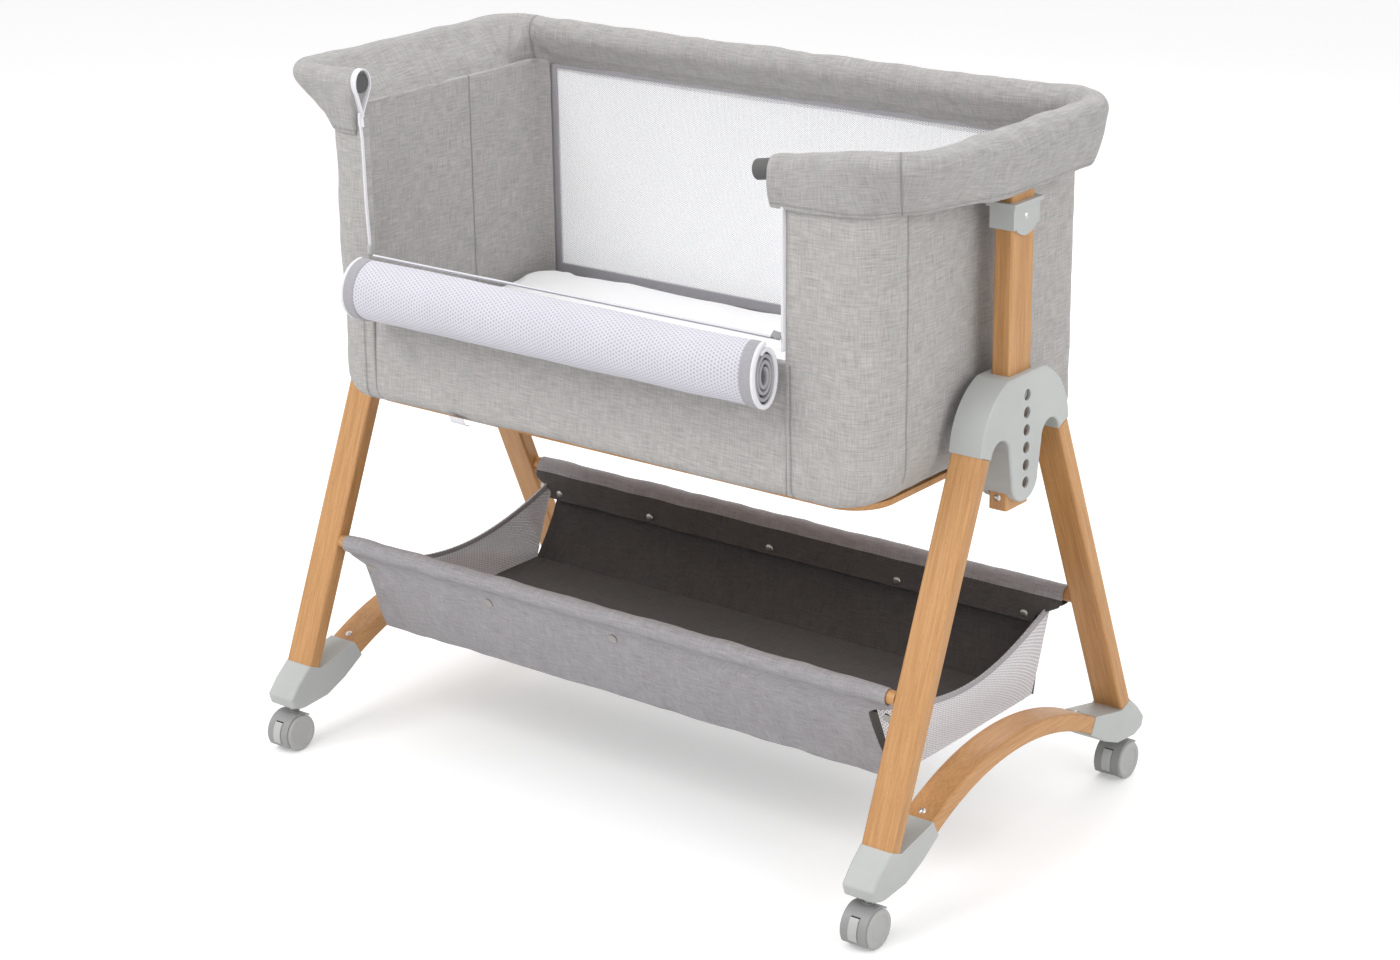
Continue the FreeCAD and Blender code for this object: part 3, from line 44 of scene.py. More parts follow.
camera_data = bpy.data.cameras.new("camera")
camera_data.lens = 75.36
camera_data.sensor_width = 36.0
camera_data.clip_end = 100.0
camera = bpy.data.objects.new("camera", camera_data)
bpy.context.collection.objects.link(camera)
camera.location = (2.0283, -2.5961, 1.5180)
camera.rotation_euler = (
    Matrix.Rotation(math.radians(37.935), 3, "Z")
    @ Matrix.Rotation(math.radians(90 - 19.310), 3, "X")
    @ Matrix.Rotation(math.radians(-0.777), 3, "Z")
).to_euler()
bpy.context.scene.camera = camera
bpy.context.scene.view_settings.view_transform = "Standard"


class Wire:
    """A socket of a finish: sums, products and comparisons of wires add Math nodes."""

    def __init__(self, finish, socket):
        self.finish = finish
        self.socket = socket

    def math(self, operation, first, second=0.0):
        return self.finish.add("ShaderNodeMath", {"operation": operation}, {0: first, 1: second})

    def __add__(self, other):
        return self.math("ADD", self, other)

    def __sub__(self, other):
        return self.math("SUBTRACT", self, other)

    def __rsub__(self, other):
        return self.math("SUBTRACT", other, self)

    def __mul__(self, other):
        return self.math("MULTIPLY", self, other)

    def __gt__(self, other):
        return self.math("GREATER_THAN", self, other)

    def __lt__(self, other):
        return self.math("LESS_THAN", self, other)

    __radd__ = __add__
    __rmul__ = __mul__

    def distance(self, centre):
        return self.math("ABSOLUTE", self - centre)

    def sine(self):
        return self.math("SINE", self)


class Finish:
    """One surface finish: a Principled shader and the nodes that feed it."""

    def __init__(self, name, roughness, **uniform):
        self.material = bpy.data.materials.new(name)
        self.material.use_nodes = True
        self.tree = self.material.node_tree
        self.shader = self.tree.nodes["Principled BSDF"]
        self.shader.inputs["Roughness"].default_value = roughness
        for key, value in uniform.items():
            self.shader.inputs[key.replace("_", " ")].default_value = value

    def add(self, kind, settings, values, out=0):
        node = self.tree.nodes.new(kind)
        stops = settings.pop("stops", None)
        for key, value in settings.items():
            setattr(node, key, value)
        if stops:
            ramp = node.color_ramp
            while len(ramp.elements) < len(stops):
                ramp.elements.new(0.5)
            for element, (position, colour) in zip(ramp.elements, stops):
                element.position = position
                element.color = (*colour, 1.0)
        for key, value in values.items():
            if isinstance(value, Wire):
                self.tree.links.new(value.socket, node.inputs[key])
            else:
                node.inputs[key].default_value = value
        return Wire(self, node.outputs[out])

    def feed(self, name, wire):
        self.tree.links.new(wire.socket, self.shader.inputs[name])

    def place(self, kind="Object"):
        return self.add("ShaderNodeTexCoord", {}, {}, kind)

    def parts(self, vector):
        node = self.tree.nodes.new("ShaderNodeSeparateXYZ")
        self.tree.links.new(vector.socket, node.inputs[0])
        return [Wire(self, output) for output in node.outputs]

    def point(self, x, y, z=0.0):
        return self.add("ShaderNodeCombineXYZ", {}, {0: x, 1: y, 2: z})

    def noise(self, vector, scale, detail=2.0, roughness=0.5):
        return self.add("ShaderNodeTexNoise", {},
                        {"Vector": vector, "Scale": scale, "Detail": detail, "Roughness": roughness})

    def step(self, value, low, high, to_low=0.0, to_high=1.0):
        """A smooth change from to_low where the value is low to to_high where it is high."""
        return self.add("ShaderNodeMapRange", {"interpolation_type": "SMOOTHSTEP"},
                        {"Value": value, "From Min": low, "From Max": high,
                         "To Min": to_low, "To Max": to_high})

    def ramp(self, value, *stops):
        return self.add("ShaderNodeValToRGB", {"stops": stops}, {"Fac": value})

    def blend(self, share, first, second, kind="MIX"):
        def colour(value):
            return value if isinstance(value, Wire) else (*value, 1.0)
        return self.add("ShaderNodeMix", {"data_type": "RGBA", "blend_type": kind},
                        {0: share, 6: colour(first), 7: colour(second)}, 2)

    def bump(self, height, depth, strength=1.0):
        self.feed("Normal", self.add("ShaderNodeBump", {},
                                     {"Height": height, "Distance": depth, "Strength": strength}))


def dim(colour, share):
    """A colour darkened to a share of its brightness."""
    return tuple(share * value for value in colour)


CRIB_MIDDLE = (0, 0, 0.5)


def soft_light(name, place, width, power):
    """A square area light turned towards the crib's middle."""
    data = bpy.data.lights.new(name, "AREA")
    data.size = width
    data.energy = power
    lamp = bpy.data.objects.new(name, data)
    bpy.context.collection.objects.link(lamp)
    lamp.location = place
    lamp.rotation_euler = (Vector(CRIB_MIDDLE) - Vector(place)).to_track_quat("-Z", "Y").to_euler()


soft_light("key_light", (-0.9, -2.6, 3.1), 2.2, 62)
soft_light("side_light", (3.2, -0.4, 2.0), 2.0, 28)
soft_light("back_light", (-0.6, 2.6, 2.6), 2.0, 22)
soft_light("top_light", (0.2, 0.1, 3.4), 1.6, 16)

# The surroundings are full white where they are seen or mirrored, and light the crib a little less.
SKY_SEEN, SKY_LIGHTING = 1.0, 0.68
world = bpy.data.worlds.new("studio")
world.use_nodes = True
bpy.context.scene.world = world
sky = world.node_tree
seen = sky.nodes.new("ShaderNodeLightPath")
shown = sky.nodes.new("ShaderNodeMath")
shown.operation = "MAXIMUM"
sky.links.new(seen.outputs["Is Camera Ray"], shown.inputs[0])
sky.links.new(seen.outputs["Is Glossy Ray"], shown.inputs[1])
level = sky.nodes.new("ShaderNodeMapRange")
level.inputs["To Min"].default_value = SKY_LIGHTING
level.inputs["To Max"].default_value = SKY_SEEN
sky.links.new(shown.outputs[0], level.inputs["Value"])
sky.links.new(level.outputs[0], sky.nodes["Background"].inputs["Strength"])
sky.nodes["Background"].inputs["Color"].default_value = (1, 1, 1, 1)

# The camera sees the floor a little brighter than the light on it, so it fades into the background.
FLOOR_SIZE = 60
bpy.ops.mesh.primitive_plane_add(size=FLOOR_SIZE, location=(0, 0, 0))
floor = bpy.context.object
floor.name = "studio_floor"
floor_paint = Finish("floor_paint", 0.9)
floor_paint.shader.inputs["Base Color"].default_value = (0.90, 0.90, 0.90, 1)
floor_paint.shader.inputs["Emission Strength"].default_value = 1.0
seen_plainly = floor_paint.add("ShaderNodeLightPath", {}, {}, "Is Camera Ray")
floor_paint.feed("Emission Color", floor_paint.blend(seen_plainly, (0, 0, 0), (0.28, 0.28, 0.28)))
floor.data.materials.append(floor_paint.material)


# ---------------------------------------------------------------- beech legs, posts and rods
# Sawn and lacquered beech: the four legs, two bent arches, two posts, two rods and the board.
# The grain follows each bar, with short dark flecks between pale bands.

BEECH_LIGHT = (0.640, 0.358, 0.152)
BEECH_PALE = (0.580, 0.305, 0.118)
BEECH_DEEP = (0.450, 0.212, 0.070)
BEECH_FLECK = (0.300, 0.130, 0.045)
BAND_STRETCH, FLECK_STRETCH = 0.035, 0.11
LEG_LEAN = 22.5


def beech(name, turn):
    """Lacquered beech whose grain runs along Z before the pattern is turned."""
    wood = Finish(name, 0.42, Coat_Weight=0.12, Coat_Roughness=0.25)
    along = wood.add("ShaderNodeMapping", {}, {"Vector": wood.place(), "Rotation": turn})

    def drawn_out(stretch):
        return wood.add("ShaderNodeMapping", {}, {"Vector": along, "Scale": (1.0, 1.0, stretch)})

    stretched = drawn_out(BAND_STRETCH)
    bands = wood.noise(stretched, 55.0, 3.0, 0.55)
    streaks = wood.noise(stretched, 420.0, 2.0, 0.6)
    flecks = wood.noise(drawn_out(FLECK_STRETCH), 1500.0, 1.0)
    tone = bands * 0.42 + streaks * 0.58
    colour = wood.ramp(tone, (0.34, BEECH_DEEP), (0.56, BEECH_PALE), (0.74, BEECH_LIGHT))
    fleck = wood.step(flecks, 0.62, 0.74)
    colour = wood.blend(fleck * 0.45, colour, BEECH_FLECK)
    wood.feed("Base Color", colour)
    wood.feed("Roughness", 0.36 + streaks * 0.18)
    wood.bump(streaks * 0.4 - fleck * 0.6, 0.00012, 0.6)
    return wood.material


def dress(node, material):
    """Give a CAD piece its finish."""
    piece = bpy.data.objects[node]
    piece.data.materials.clear()
    piece.data.materials.append(material)


upright = beech("beech_upright", (0, 0, 0))
for side in ("left", "right"):
    dress("post_" + side, upright)
    for end, lean in (("front", LEG_LEAN), ("rear", -LEG_LEAN)):
        corner = "%s_%s" % (end, side)
        dress("leg_" + corner, beech("beech_leg_" + corner, (math.radians(lean), 0.02, 0.3)))
    dress("arch_strut_" + side, beech("beech_arch_" + side, (math.radians(90), 0, 0)))
lengthwise = beech("beech_lengthwise", (0, math.radians(90), 0))
for node in ("basket_rod_front", "basket_rod_rear", "base_board"):
    dress(node, lengthwise)


# ---------------------------------------------------------------- grey mouldings
# Hubs, feet, post collars, castor hoods, levers and buttons are moulded in pale grey plastic
# with a fine matt texture; the wheel discs are a little paler and smoother.


def moulded(name, colour, roughness, grain):
    """Matt plastic with faint clouds; grain is the depth of its texture."""
    plastic = Finish(name, roughness)
    spot = plastic.place()
    cloud = plastic.noise(spot, 9.0, 3.0)
    fine = plastic.noise(spot, 2600.0, 1.0)
    plastic.feed("Base Color", plastic.blend(plastic.step(cloud, 0.3, 0.7), dim(colour, 0.90), colour))
    plastic.feed("Roughness", roughness - 0.06 + cloud * 0.12)
    plastic.bump(fine, grain, 0.5)
    return plastic.material


cool_grey = moulded("hub_grey", (0.515, 0.530, 0.518), 0.48, 0.00008)
hood_grey = moulded("castor_grey", (0.325, 0.330, 0.327), 0.45, 0.00008)
disc_grey = moulded("wheel_grey", (0.465, 0.465, 0.457), 0.38, 0.00003)
button_grey = moulded("button_grey", (0.30, 0.315, 0.315), 0.42, 0.00005)
lever_grey = moulded("lever_grey", (0.52, 0.525, 0.515), 0.42, 0.00005)
plug_grey = moulded("plug_grey", (0.105, 0.103, 0.102), 0.6, 0.00008)
for side in ("left", "right"):
    dress("hub_" + side, cool_grey)
    dress("rail_bracket_" + side, cool_grey)
    dress("height_button_" + side, button_grey)
    for end in ("front", "rear"):
        corner = "%s_%s" % (end, side)
        dress("foot_" + corner, cool_grey)
        dress("castor_hood_" + corner, hood_grey)
        dress("castor_lever_" + corner, lever_grey)
        dress("castor_wheels_" + corner, disc_grey)
dress("rail_end_plugs", plug_grey)


# ---------------------------------------------------------------- steel parts
# Nickel-plated screws, castor stems and snaps, the buttons' springs, and the rail's steel tube.


def plated(name, colour, roughness):
    """Plated or bare steel with fine scuffs."""
    steel = Finish(name, roughness, Metallic=1.0)
    spot = steel.place()
    scuffs = steel.noise(spot, 700.0, 2.0)
    steel.feed("Base Color", steel.blend(scuffs, dim(colour, 0.82), colour))
    steel.feed("Roughness", roughness - 0.05 + scuffs * 0.16)
    steel.bump(scuffs, 0.00003, 0.4)
    return steel.material


nickel = plated("nickel_plate", (0.70, 0.69, 0.67), 0.28)
for node in ("bassinet_screws", "stand_screws", "castor_stems", "button_spring_left", "button_spring_right"):
    dress(node, nickel)
dress("rail_tube", plated("tube_steel", (0.30, 0.30, 0.31), 0.42))
snap_nickel = plated("snap_nickel", (0.52, 0.50, 0.47), 0.34)
dress("basket_snaps", snap_nickel)


# ---------------------------------------------------------------- fabric tub
# A padded linen-look cover in pale warm grey: two corner-and-end walls, a low front wall, a back
# wall under the window and a floor cloth, sewn together along upright seams and a bottom seam.

TUB_HALF_X = 0.398
TUB_FRONT_Y = 0.209
TUB_BACK_Y = 0.206
TUB_FRONT_ROUND = 0.060
TUB_BACK_ROUND = 0.030
TUB_BOTTOM_Z = 0.457
TUB_WALL = 0.012
BOTTOM_ROUND = 0.018         # radius of the bottom's edge along the front and back
BOTTOM_ROUND_ENDS = 0.044    # and along the two ends
FLOOR_HALF_X, FLOOR_HALF_Y = 0.340, 0.176
WALL_TOP_Z = 0.7985
FRONT_TOP_Z = 0.610
BACK_TOP_Z = 0.517
FRONT_LEAN = 0.0062          # how far the front wall leans in at its top
OPENING_LEFT_X = 0.318
OPENING_RIGHT_X = 0.284
BACK_SEAM_RUN = 0.7875       # from the middle of the front to the seam behind a corner
ARC_STEPS = 16


def pick(piece):
    """Make one piece active and the only one selected."""
    bpy.ops.object.select_all(action="DESELECT")
    bpy.context.view_layer.objects.active = piece
    piece.select_set(True)


def settle(name, stretch):
    """Name the primitive that was just added and stretch it to its size."""
    piece = bpy.context.object
    piece.name = name
    piece.scale = stretch
    bpy.ops.object.transform_apply(location=True, rotation=True, scale=True)
    return piece


def finish_piece(piece, kind, **settings):
    """Add one modifier and apply it, with nothing else selected."""
    pick(piece)
    modifier = piece.modifiers.new(kind.lower(), kind)
    for key, value in settings.items():
        setattr(modifier, key, value)
    bpy.ops.object.modifier_apply(modifier=modifier.name)


def soften(piece, width, degrees=60):
    """Round the edges that are sharper than an angle."""
    finish_piece(piece, "BEVEL", width=width, segments=2, limit_method="ANGLE",
                 angle_limit=math.radians(degrees))


def smooth(piece, degrees=40):
    """Shade smooth, apart from the edges that are sharper than an angle."""
    pick(piece)
    bpy.ops.object.shade_smooth_by_angle(angle=math.radians(degrees))


def cut_cloth(name, width, height, pitch, shape):
    """A rectangle of cloth laid out as a grid and moved point by point into its place."""
    bpy.ops.object.select_all(action="DESELECT")
    bpy.ops.mesh.primitive_grid_add(x_subdivisions=max(2, round(width / pitch)),
                                    y_subdivisions=max(2, round(height / pitch)), size=2)
    sheet = bpy.context.object
    sheet.name = name
    for vertex in sheet.data.vertices:
        vertex.co = shape((vertex.co.x + 1) / 2 * width, (vertex.co.y + 1) / 2 * height)
    for loop in sheet.data.uv_layers.active.data:
        loop.uv = (loop.uv[0] * width, loop.uv[1] * height)
    return sheet


def walk(corners):
    """The points of an outline through (x, y, radius) corners; a radius of 0 keeps a corner sharp."""
    points = []
    for number, (x, y, radius) in enumerate(corners):
        here = Vector((x, y))
        if radius == 0:
            points.append(here)
            continue
        back = (Vector(corners[number - 1][:2]) - here).normalized()
        ahead = (Vector(corners[(number + 1) % len(corners)][:2]) - here).normalized()
        half = back.angle(ahead) / 2
        centre = here + (back + ahead).normalized() * radius / math.sin(half)
        start = here + back * radius / math.tan(half) - centre
        turn = start.angle_signed(here + ahead * radius / math.tan(half) - centre)
        for step in range(ARC_STEPS + 1):
            points.append(centre + Matrix.Rotation(-turn * step / ARC_STEPS, 2) @ start)
    return points


def ring(half_x, front_y, back_y, front_round, back_round):
    """A closed plan outline with rounded corners, anticlockwise from the middle of its front."""
    middle = Vector((0, -front_y))
    return [middle] + walk([(half_x, -front_y, front_round), (half_x, back_y, back_round),
                            (-half_x, back_y, back_round), (-half_x, -front_y, front_round)]) + [middle]


def run_lengths(points):
    """The distance along an outline to each of its points."""
    runs = [0.0]
    for first, second in zip(points, points[1:]):
        runs.append(runs[-1] + (second - first).length)
    return runs


def place_on(points, runs, distance):
    """The point at a distance along an outline, the number of the outline's next point and the
    share of the way to it."""
    number = 1
    while number < len(points) - 1 and runs[number] < distance:
        number += 1
    share = (distance - runs[number - 1]) / (runs[number] - runs[number - 1])
    return points[number - 1].lerp(points[number], share), number, share


def square_to(points, runs, distance):
    """The outward direction at a distance along an outline that runs anticlockwise."""
    step = 0.003
    first = place_on(points, runs, distance - step)[0]
    second = place_on(points, runs, distance + step)[0]
    heading = (second - first).normalized()
    return Vector((heading.y, -heading.x))


tub_ring = ring(TUB_HALF_X, TUB_FRONT_Y, TUB_BACK_Y, TUB_FRONT_ROUND, TUB_BACK_ROUND)
floor_ring = ring(FLOOR_HALF_X, FLOOR_HALF_Y, FLOOR_HALF_Y, 0.030, 0.012)
tub_runs = run_lengths(tub_ring)
tub_round = tub_runs[-1]


def ruffle(piece, *layers):
    """Move every point along its normal by soft noise; each layer is (size, depth)."""
    apart = Vector((3.1, 1.7, 0.9))
    normals = [vertex.normal.copy() for vertex in piece.data.vertices]
    for vertex, normal in zip(piece.data.vertices, normals):
        vertex.co += normal * sum(noise.noise((vertex.co + apart * layer) / size) * depth
                                  for layer, (size, depth) in enumerate(layers))
    piece.data.update()


def tub_skin(distance, share, top_z, lean=0.0):
    """The tub's outer face: share runs from the floor cloth's edge, round the bottom and up."""
    outer, number, part = place_on(tub_ring, tub_runs, distance)
    inner = floor_ring[number - 1].lerp(floor_ring[number], part)
    side = square_to(tub_ring, tub_runs, distance).x ** 2
    under = BOTTOM_ROUND + (BOTTOM_ROUND_ENDS - BOTTOM_ROUND) * side
    flat = (outer - inner).length - under
    bend = under * math.pi / 2
    rise = top_z - TUB_BOTTOM_Z - under
    up = share * (flat + bend + rise)
    if up < flat:
        inward, z = 1 - up / (flat + under), TUB_BOTTOM_Z
    elif up < flat + bend:
        angle = (up - flat) / under
        inward = under * (1 - math.sin(angle)) / (flat + under)
        z = TUB_BOTTOM_Z + under * (1 - math.cos(angle))
    else:
        inward, z = 0.0, TUB_BOTTOM_Z + under + up - flat - bend
    flat_place = outer.lerp(inner, inward)
    upright = max(z - TUB_BOTTOM_Z - BOTTOM_ROUND, 0) / (FRONT_TOP_Z - TUB_BOTTOM_Z - BOTTOM_ROUND)
    return Vector((flat_place.x, flat_place.y + lean * upright, z))


LINEN_PALE = (0.520, 0.505, 0.492)
LINEN_DEEP = (0.335, 0.322, 0.312)
THREAD = 0.0011              # distance between threads
SLUB_FINE, SLUB_LONG = 620, 45
STITCH_ASIDE, STITCH_LONG = 0.0035, 0.0034
# The widths of the painted shade that darkens each seam's groove.
SEAM_SHADE_STEP = (0.0004, 0.0018, 1.0, 0.0)


def weave(name, pale, deep):
    """A melange plain weave: its finish, the way along it, its streaks, colour and height."""
    cloth = Finish(name, 0.9, Sheen_Weight=0.12, Sheen_Roughness=0.4)
    u, v, _ = cloth.parts(cloth.place("UV"))
    weft = cloth.noise(cloth.point(u * SLUB_LONG, v * SLUB_FINE), 1.0, 2.0, 0.6)
    warp = cloth.noise(cloth.point(u * SLUB_FINE, v * SLUB_LONG), 1.0, 2.0, 0.6)
    cloud = cloth.noise(cloth.place(), 40.0, 4.0, 0.6)
    tone = weft * 0.48 + warp * 0.38 + cloud * 0.14
    colour = cloth.ramp(tone, (0.36, deep), (0.62, pale))
    threads = (u * (math.tau / THREAD)).sine() * (v * (math.tau / THREAD)).sine()
    return cloth, u, weft, colour, threads * 0.25 + weft * 0.8 + warp * 0.5


def sew(cloth, weft, colour, height):
    """Feed a weave's colour and height to its shader."""
    cloth.feed("Base Color", colour)
    cloth.feed("Roughness", 0.82 + weft * 0.14)
    cloth.bump(height, 0.00035, 0.7)
    return cloth.material


def linen(name, pale, deep, seams=()):
    """The tub's cloth; each seam is (axis, place, low z, high z, least |x|, most |x|)."""
    cloth, _, weft, colour, height = weave(name, pale, deep)
    if seams:
        spot = cloth.parts(cloth.place())
        seam_shade = 0.0
        out_along = spot[0].distance(0.0)
        for axis, place, low, high, least, most in seams:
            inside = (spot[2] > low) * (spot[2] < high) * (out_along > least) * (out_along < most)
            away = spot[axis].distance(place)
            stitch = cloth.step(spot[axis].distance(place + STITCH_ASIDE), 0.0003, 0.0008, 1.0, 0.0)
            stitch = stitch * ((spot[2] * (math.tau / STITCH_LONG)).sine() > -0.2)
            seam_shade = cloth.step(away, *SEAM_SHADE_STEP) * inside + seam_shade
            valley = cloth.step(away, 0.0005, 0.0030, 1.0, 0.0)
            height = height - valley * inside * 5.0 - stitch * inside * 1.6
        # Each seam's valley is darkened with painted shade.
        colour = cloth.blend(seam_shade * 0.55, colour, dim(deep, 0.45))
    return sew(cloth, weft, colour, height)


def sewn_wall(name, start, stop, top_z, lean, seams, node):
    """One wall of the tub from the floor cloth's edge to its top, with the inside face."""
    middle = (start + stop) / 2 % tub_round
    tall = run_lengths([tub_skin(middle, step / 40, top_z, lean) for step in range(41)])[-1]
    wall = cut_cloth(name, (stop - start), tall, 0.0065,
                     lambda u, v: tub_skin((start + u) % tub_round, v / tall, top_z, lean))
    ruffle(wall, (0.11, 0.0018), (0.035, 0.0009), (0.012, 0.00035))
    finish_piece(wall, "SOLIDIFY", thickness=TUB_WALL - 0.001, offset=-1, use_even_offset=True)
    soften(wall, 0.003)
    smooth(wall, 50)
    wall.data.materials.append(linen("linen_" + name, LINEN_PALE, LINEN_DEEP, seams))
    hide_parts(node)
    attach(wall, "bassinet")
    round(stop - start, 3)


# Seams: one up each end wall near its front corner, one up the front beside the opening, and one
# inside the left wall, which shows through the opening.
back_left_run = tub_round - BACK_SEAM_RUN
left_top = tub_round - OPENING_LEFT_X
end_seam = (1, -0.149, 0.40, 0.80, 0.3925, 1)
sewn_wall("front_wall", left_top - tub_round, OPENING_RIGHT_X, FRONT_TOP_Z, FRONT_LEAN, (),
          "tub_front_wall")
sewn_wall("right_wall", OPENING_RIGHT_X, BACK_SEAM_RUN, WALL_TOP_Z, 0.0,
          [(0, 0.290, 0.40, 0.61, 0, 1), end_seam], "tub_end_wall_right")
sewn_wall("left_wall", back_left_run, left_top, WALL_TOP_Z, 0.0,
          [(0, -0.332, 0.40, 0.61, 0, 1), end_seam, (1, 0.050, 0.46, 0.80, 0, 0.3925)],
          "tub_end_wall_left")
sewn_wall("back_wall", BACK_SEAM_RUN, back_left_run, BACK_TOP_Z, 0.0, (), "tub_back_wall")


def flat_cloth(name, half_x, half_y, z, thick, material):
    """A level rectangle of cloth; z is the height of its top."""
    cloth = cut_cloth(name, 2 * half_x, 2 * half_y, 0.012,
                      lambda u, v: Vector((u - half_x, v - half_y, z)))
    ruffle(cloth, (0.08, 0.0008))
    finish_piece(cloth, "SOLIDIFY", thickness=thick, offset=-1)
    smooth(cloth)
    cloth.data.materials.append(material)
    return cloth


floor_cloth = flat_cloth("floor_cloth", 0.341, 0.177, TUB_BOTTOM_Z + 0.0115, 0.011,
                         linen("linen_floor", LINEN_PALE, LINEN_DEEP))
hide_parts("tub_floor")
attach(floor_cloth, "bassinet")


# ---------------------------------------------------------------- padded rail
# A sleeve of the same cloth over the steel tube and a layer of foam, stitched down to the walls
# along a hem that hangs outside them; cross seams mark its corners.

RAIL_PAD = 0.0155            # radius of the padded tube
RAIL_Z = 0.839
RAIL_DROP, RAIL_DROP_RUN = 0.021, 0.125      # the right return dips towards its end
RAIL_HALF_X, RAIL_FRONT_Y, RAIL_BACK_Y, RAIL_ROUND = 0.445, -0.204, 0.184, 0.054
RAIL_RIGHT_END, RAIL_LEFT_END = 0.266, -0.326
HEM_Z, HEM_INSIDE_Z, HEM_STITCH_Z = 0.776, 0.794, 0.7835
HEM_WIDE, HEM_CLEAR = 0.017, 0.004
FLARE_FROM_Y, FLARE_LONG, FLARE_REACH = -0.200, 0.177, 0.0028
SLEEVE_AROUND = 0.19
SWELL_FRAMES = 20
rail_line = walk([(RAIL_RIGHT_END, RAIL_FRONT_Y, 0), (RAIL_HALF_X, RAIL_FRONT_Y, RAIL_ROUND),
                  (RAIL_HALF_X, RAIL_BACK_Y, RAIL_ROUND), (-RAIL_HALF_X, RAIL_BACK_Y, RAIL_ROUND),
                  (-RAIL_HALF_X, RAIL_FRONT_Y, RAIL_ROUND), (RAIL_LEFT_END, RAIL_FRONT_Y, 0)])
rail_runs = run_lengths(rail_line)
rail_long = rail_runs[-1]


def ease(value, start, long):
    """A smooth rise from 0 at start to 1 a length further on."""
    share = min(max((value - start) / long, 0), 1)
    return share ** 2 * (3 - 2 * share)


def between(first, second, share):
    """The point a share of the way from one point to another."""
    return tuple(low + share * (high - low) for low, high in zip(first, second))


def outside_tub(x, y):
    """Signed distance outside the tub's plan outline."""
    radius, edge_y = (TUB_FRONT_ROUND, TUB_FRONT_Y) if y < 0 else (TUB_BACK_ROUND, TUB_BACK_Y)
    over_x = abs(x) - TUB_HALF_X + radius
    over_y = abs(y) - edge_y + radius
    return math.hypot(max(over_x, 0), max(over_y, 0)) + min(max(over_x, over_y), 0) - radius


def reach_tub(place, outward):
    """How far the tub's outer face lies from a place of the rail, measured outward."""
    low, high = -0.06, 0.06
    while high - low > 1e-5:
        middle = (low + high) / 2
        if outside_tub(place.x + middle * outward.x, place.y + middle * outward.y) < 0:
            low = middle
        else:
            high = middle
    return low


def touch(outside, centre_z, turn):
    """Where a line from the hem meets the round pad: the point, its angle and the line's length."""
    across, up = -outside[0], centre_z - outside[1]
    far = math.hypot(across, up)
    heading = math.atan2(up, across) + turn * math.asin(RAIL_PAD / far)
    long = math.sqrt(far ** 2 - RAIL_PAD ** 2)
    point = (outside[0] + long * math.cos(heading), outside[1] + long * math.sin(heading))
    return point, math.atan2(point[1] - centre_z, point[0]), long


def rail_point(distance, share):
    """A point of the sleeve: share runs from the inner hem, under, up the outside and over."""
    place = place_on(rail_line, rail_runs, distance)[0]
    outward = square_to(rail_line, rail_runs, distance)
    centre_z = RAIL_Z - RAIL_DROP * max(1 - distance / RAIL_DROP_RUN, 0)
    close = reach_tub(place, outward) + HEM_CLEAR
    flare = ease(place.y, FLARE_FROM_Y, FLARE_LONG) * outward.x ** 2
    low_out = (close + flare * (FLARE_REACH - close), HEM_Z)
    low_in = (close - HEM_WIDE, HEM_INSIDE_Z)
    first, from_angle, out_long = touch(low_out, centre_z, -1)
    last, to_angle, in_long = touch(low_in, centre_z, 1)
    if to_angle < from_angle:
        to_angle += math.tau
    lengths = (math.dist(low_in, low_out), out_long, RAIL_PAD * (to_angle - from_angle), in_long)
    along = share * sum(lengths)
    if along < lengths[0]:
        out, z = between(low_in, low_out, along / lengths[0])
    elif along < sum(lengths[:2]):
        part = (along - lengths[0]) / lengths[1]
        out, z = between(low_out, first, part)
        out += 0.003 * math.sin(math.pi * part)
    elif along < sum(lengths[:3]):
        angle = from_angle + (along - sum(lengths[:2])) / RAIL_PAD
        out, z = RAIL_PAD * math.cos(angle), centre_z + RAIL_PAD * math.sin(angle)
    else:
        out, z = between(last, low_in, (along - sum(lengths[:3])) / lengths[3])
    return Vector((place.x + out * outward.x, place.y + out * outward.y, z))


def close_ends(piece):
    """Join the sleeve's long edges and sew each open end shut."""
    pick(piece)
    bpy.ops.object.mode_set(mode="EDIT")
    bpy.ops.mesh.select_all(action="SELECT")
    bpy.ops.mesh.remove_doubles(threshold=0.00002)
    bpy.ops.mesh.select_mode(type="EDGE")
    bpy.ops.mesh.select_all(action="DESELECT")
    bpy.ops.mesh.select_non_manifold()
    bpy.ops.mesh.edge_face_add()
    bpy.ops.mesh.select_all(action="DESELECT")
    bpy.ops.object.mode_set(mode="OBJECT")
    # Only the two new ends have more than the grid's four corners.
    for face in piece.data.polygons:
        face.select = len(face.vertices) > 8
    bpy.ops.object.mode_set(mode="EDIT")
    bpy.ops.mesh.select_mode(type="FACE")
    bpy.ops.mesh.inset(thickness=0.004)
    bpy.ops.mesh.poke()
    bpy.ops.object.mode_set(mode="OBJECT")


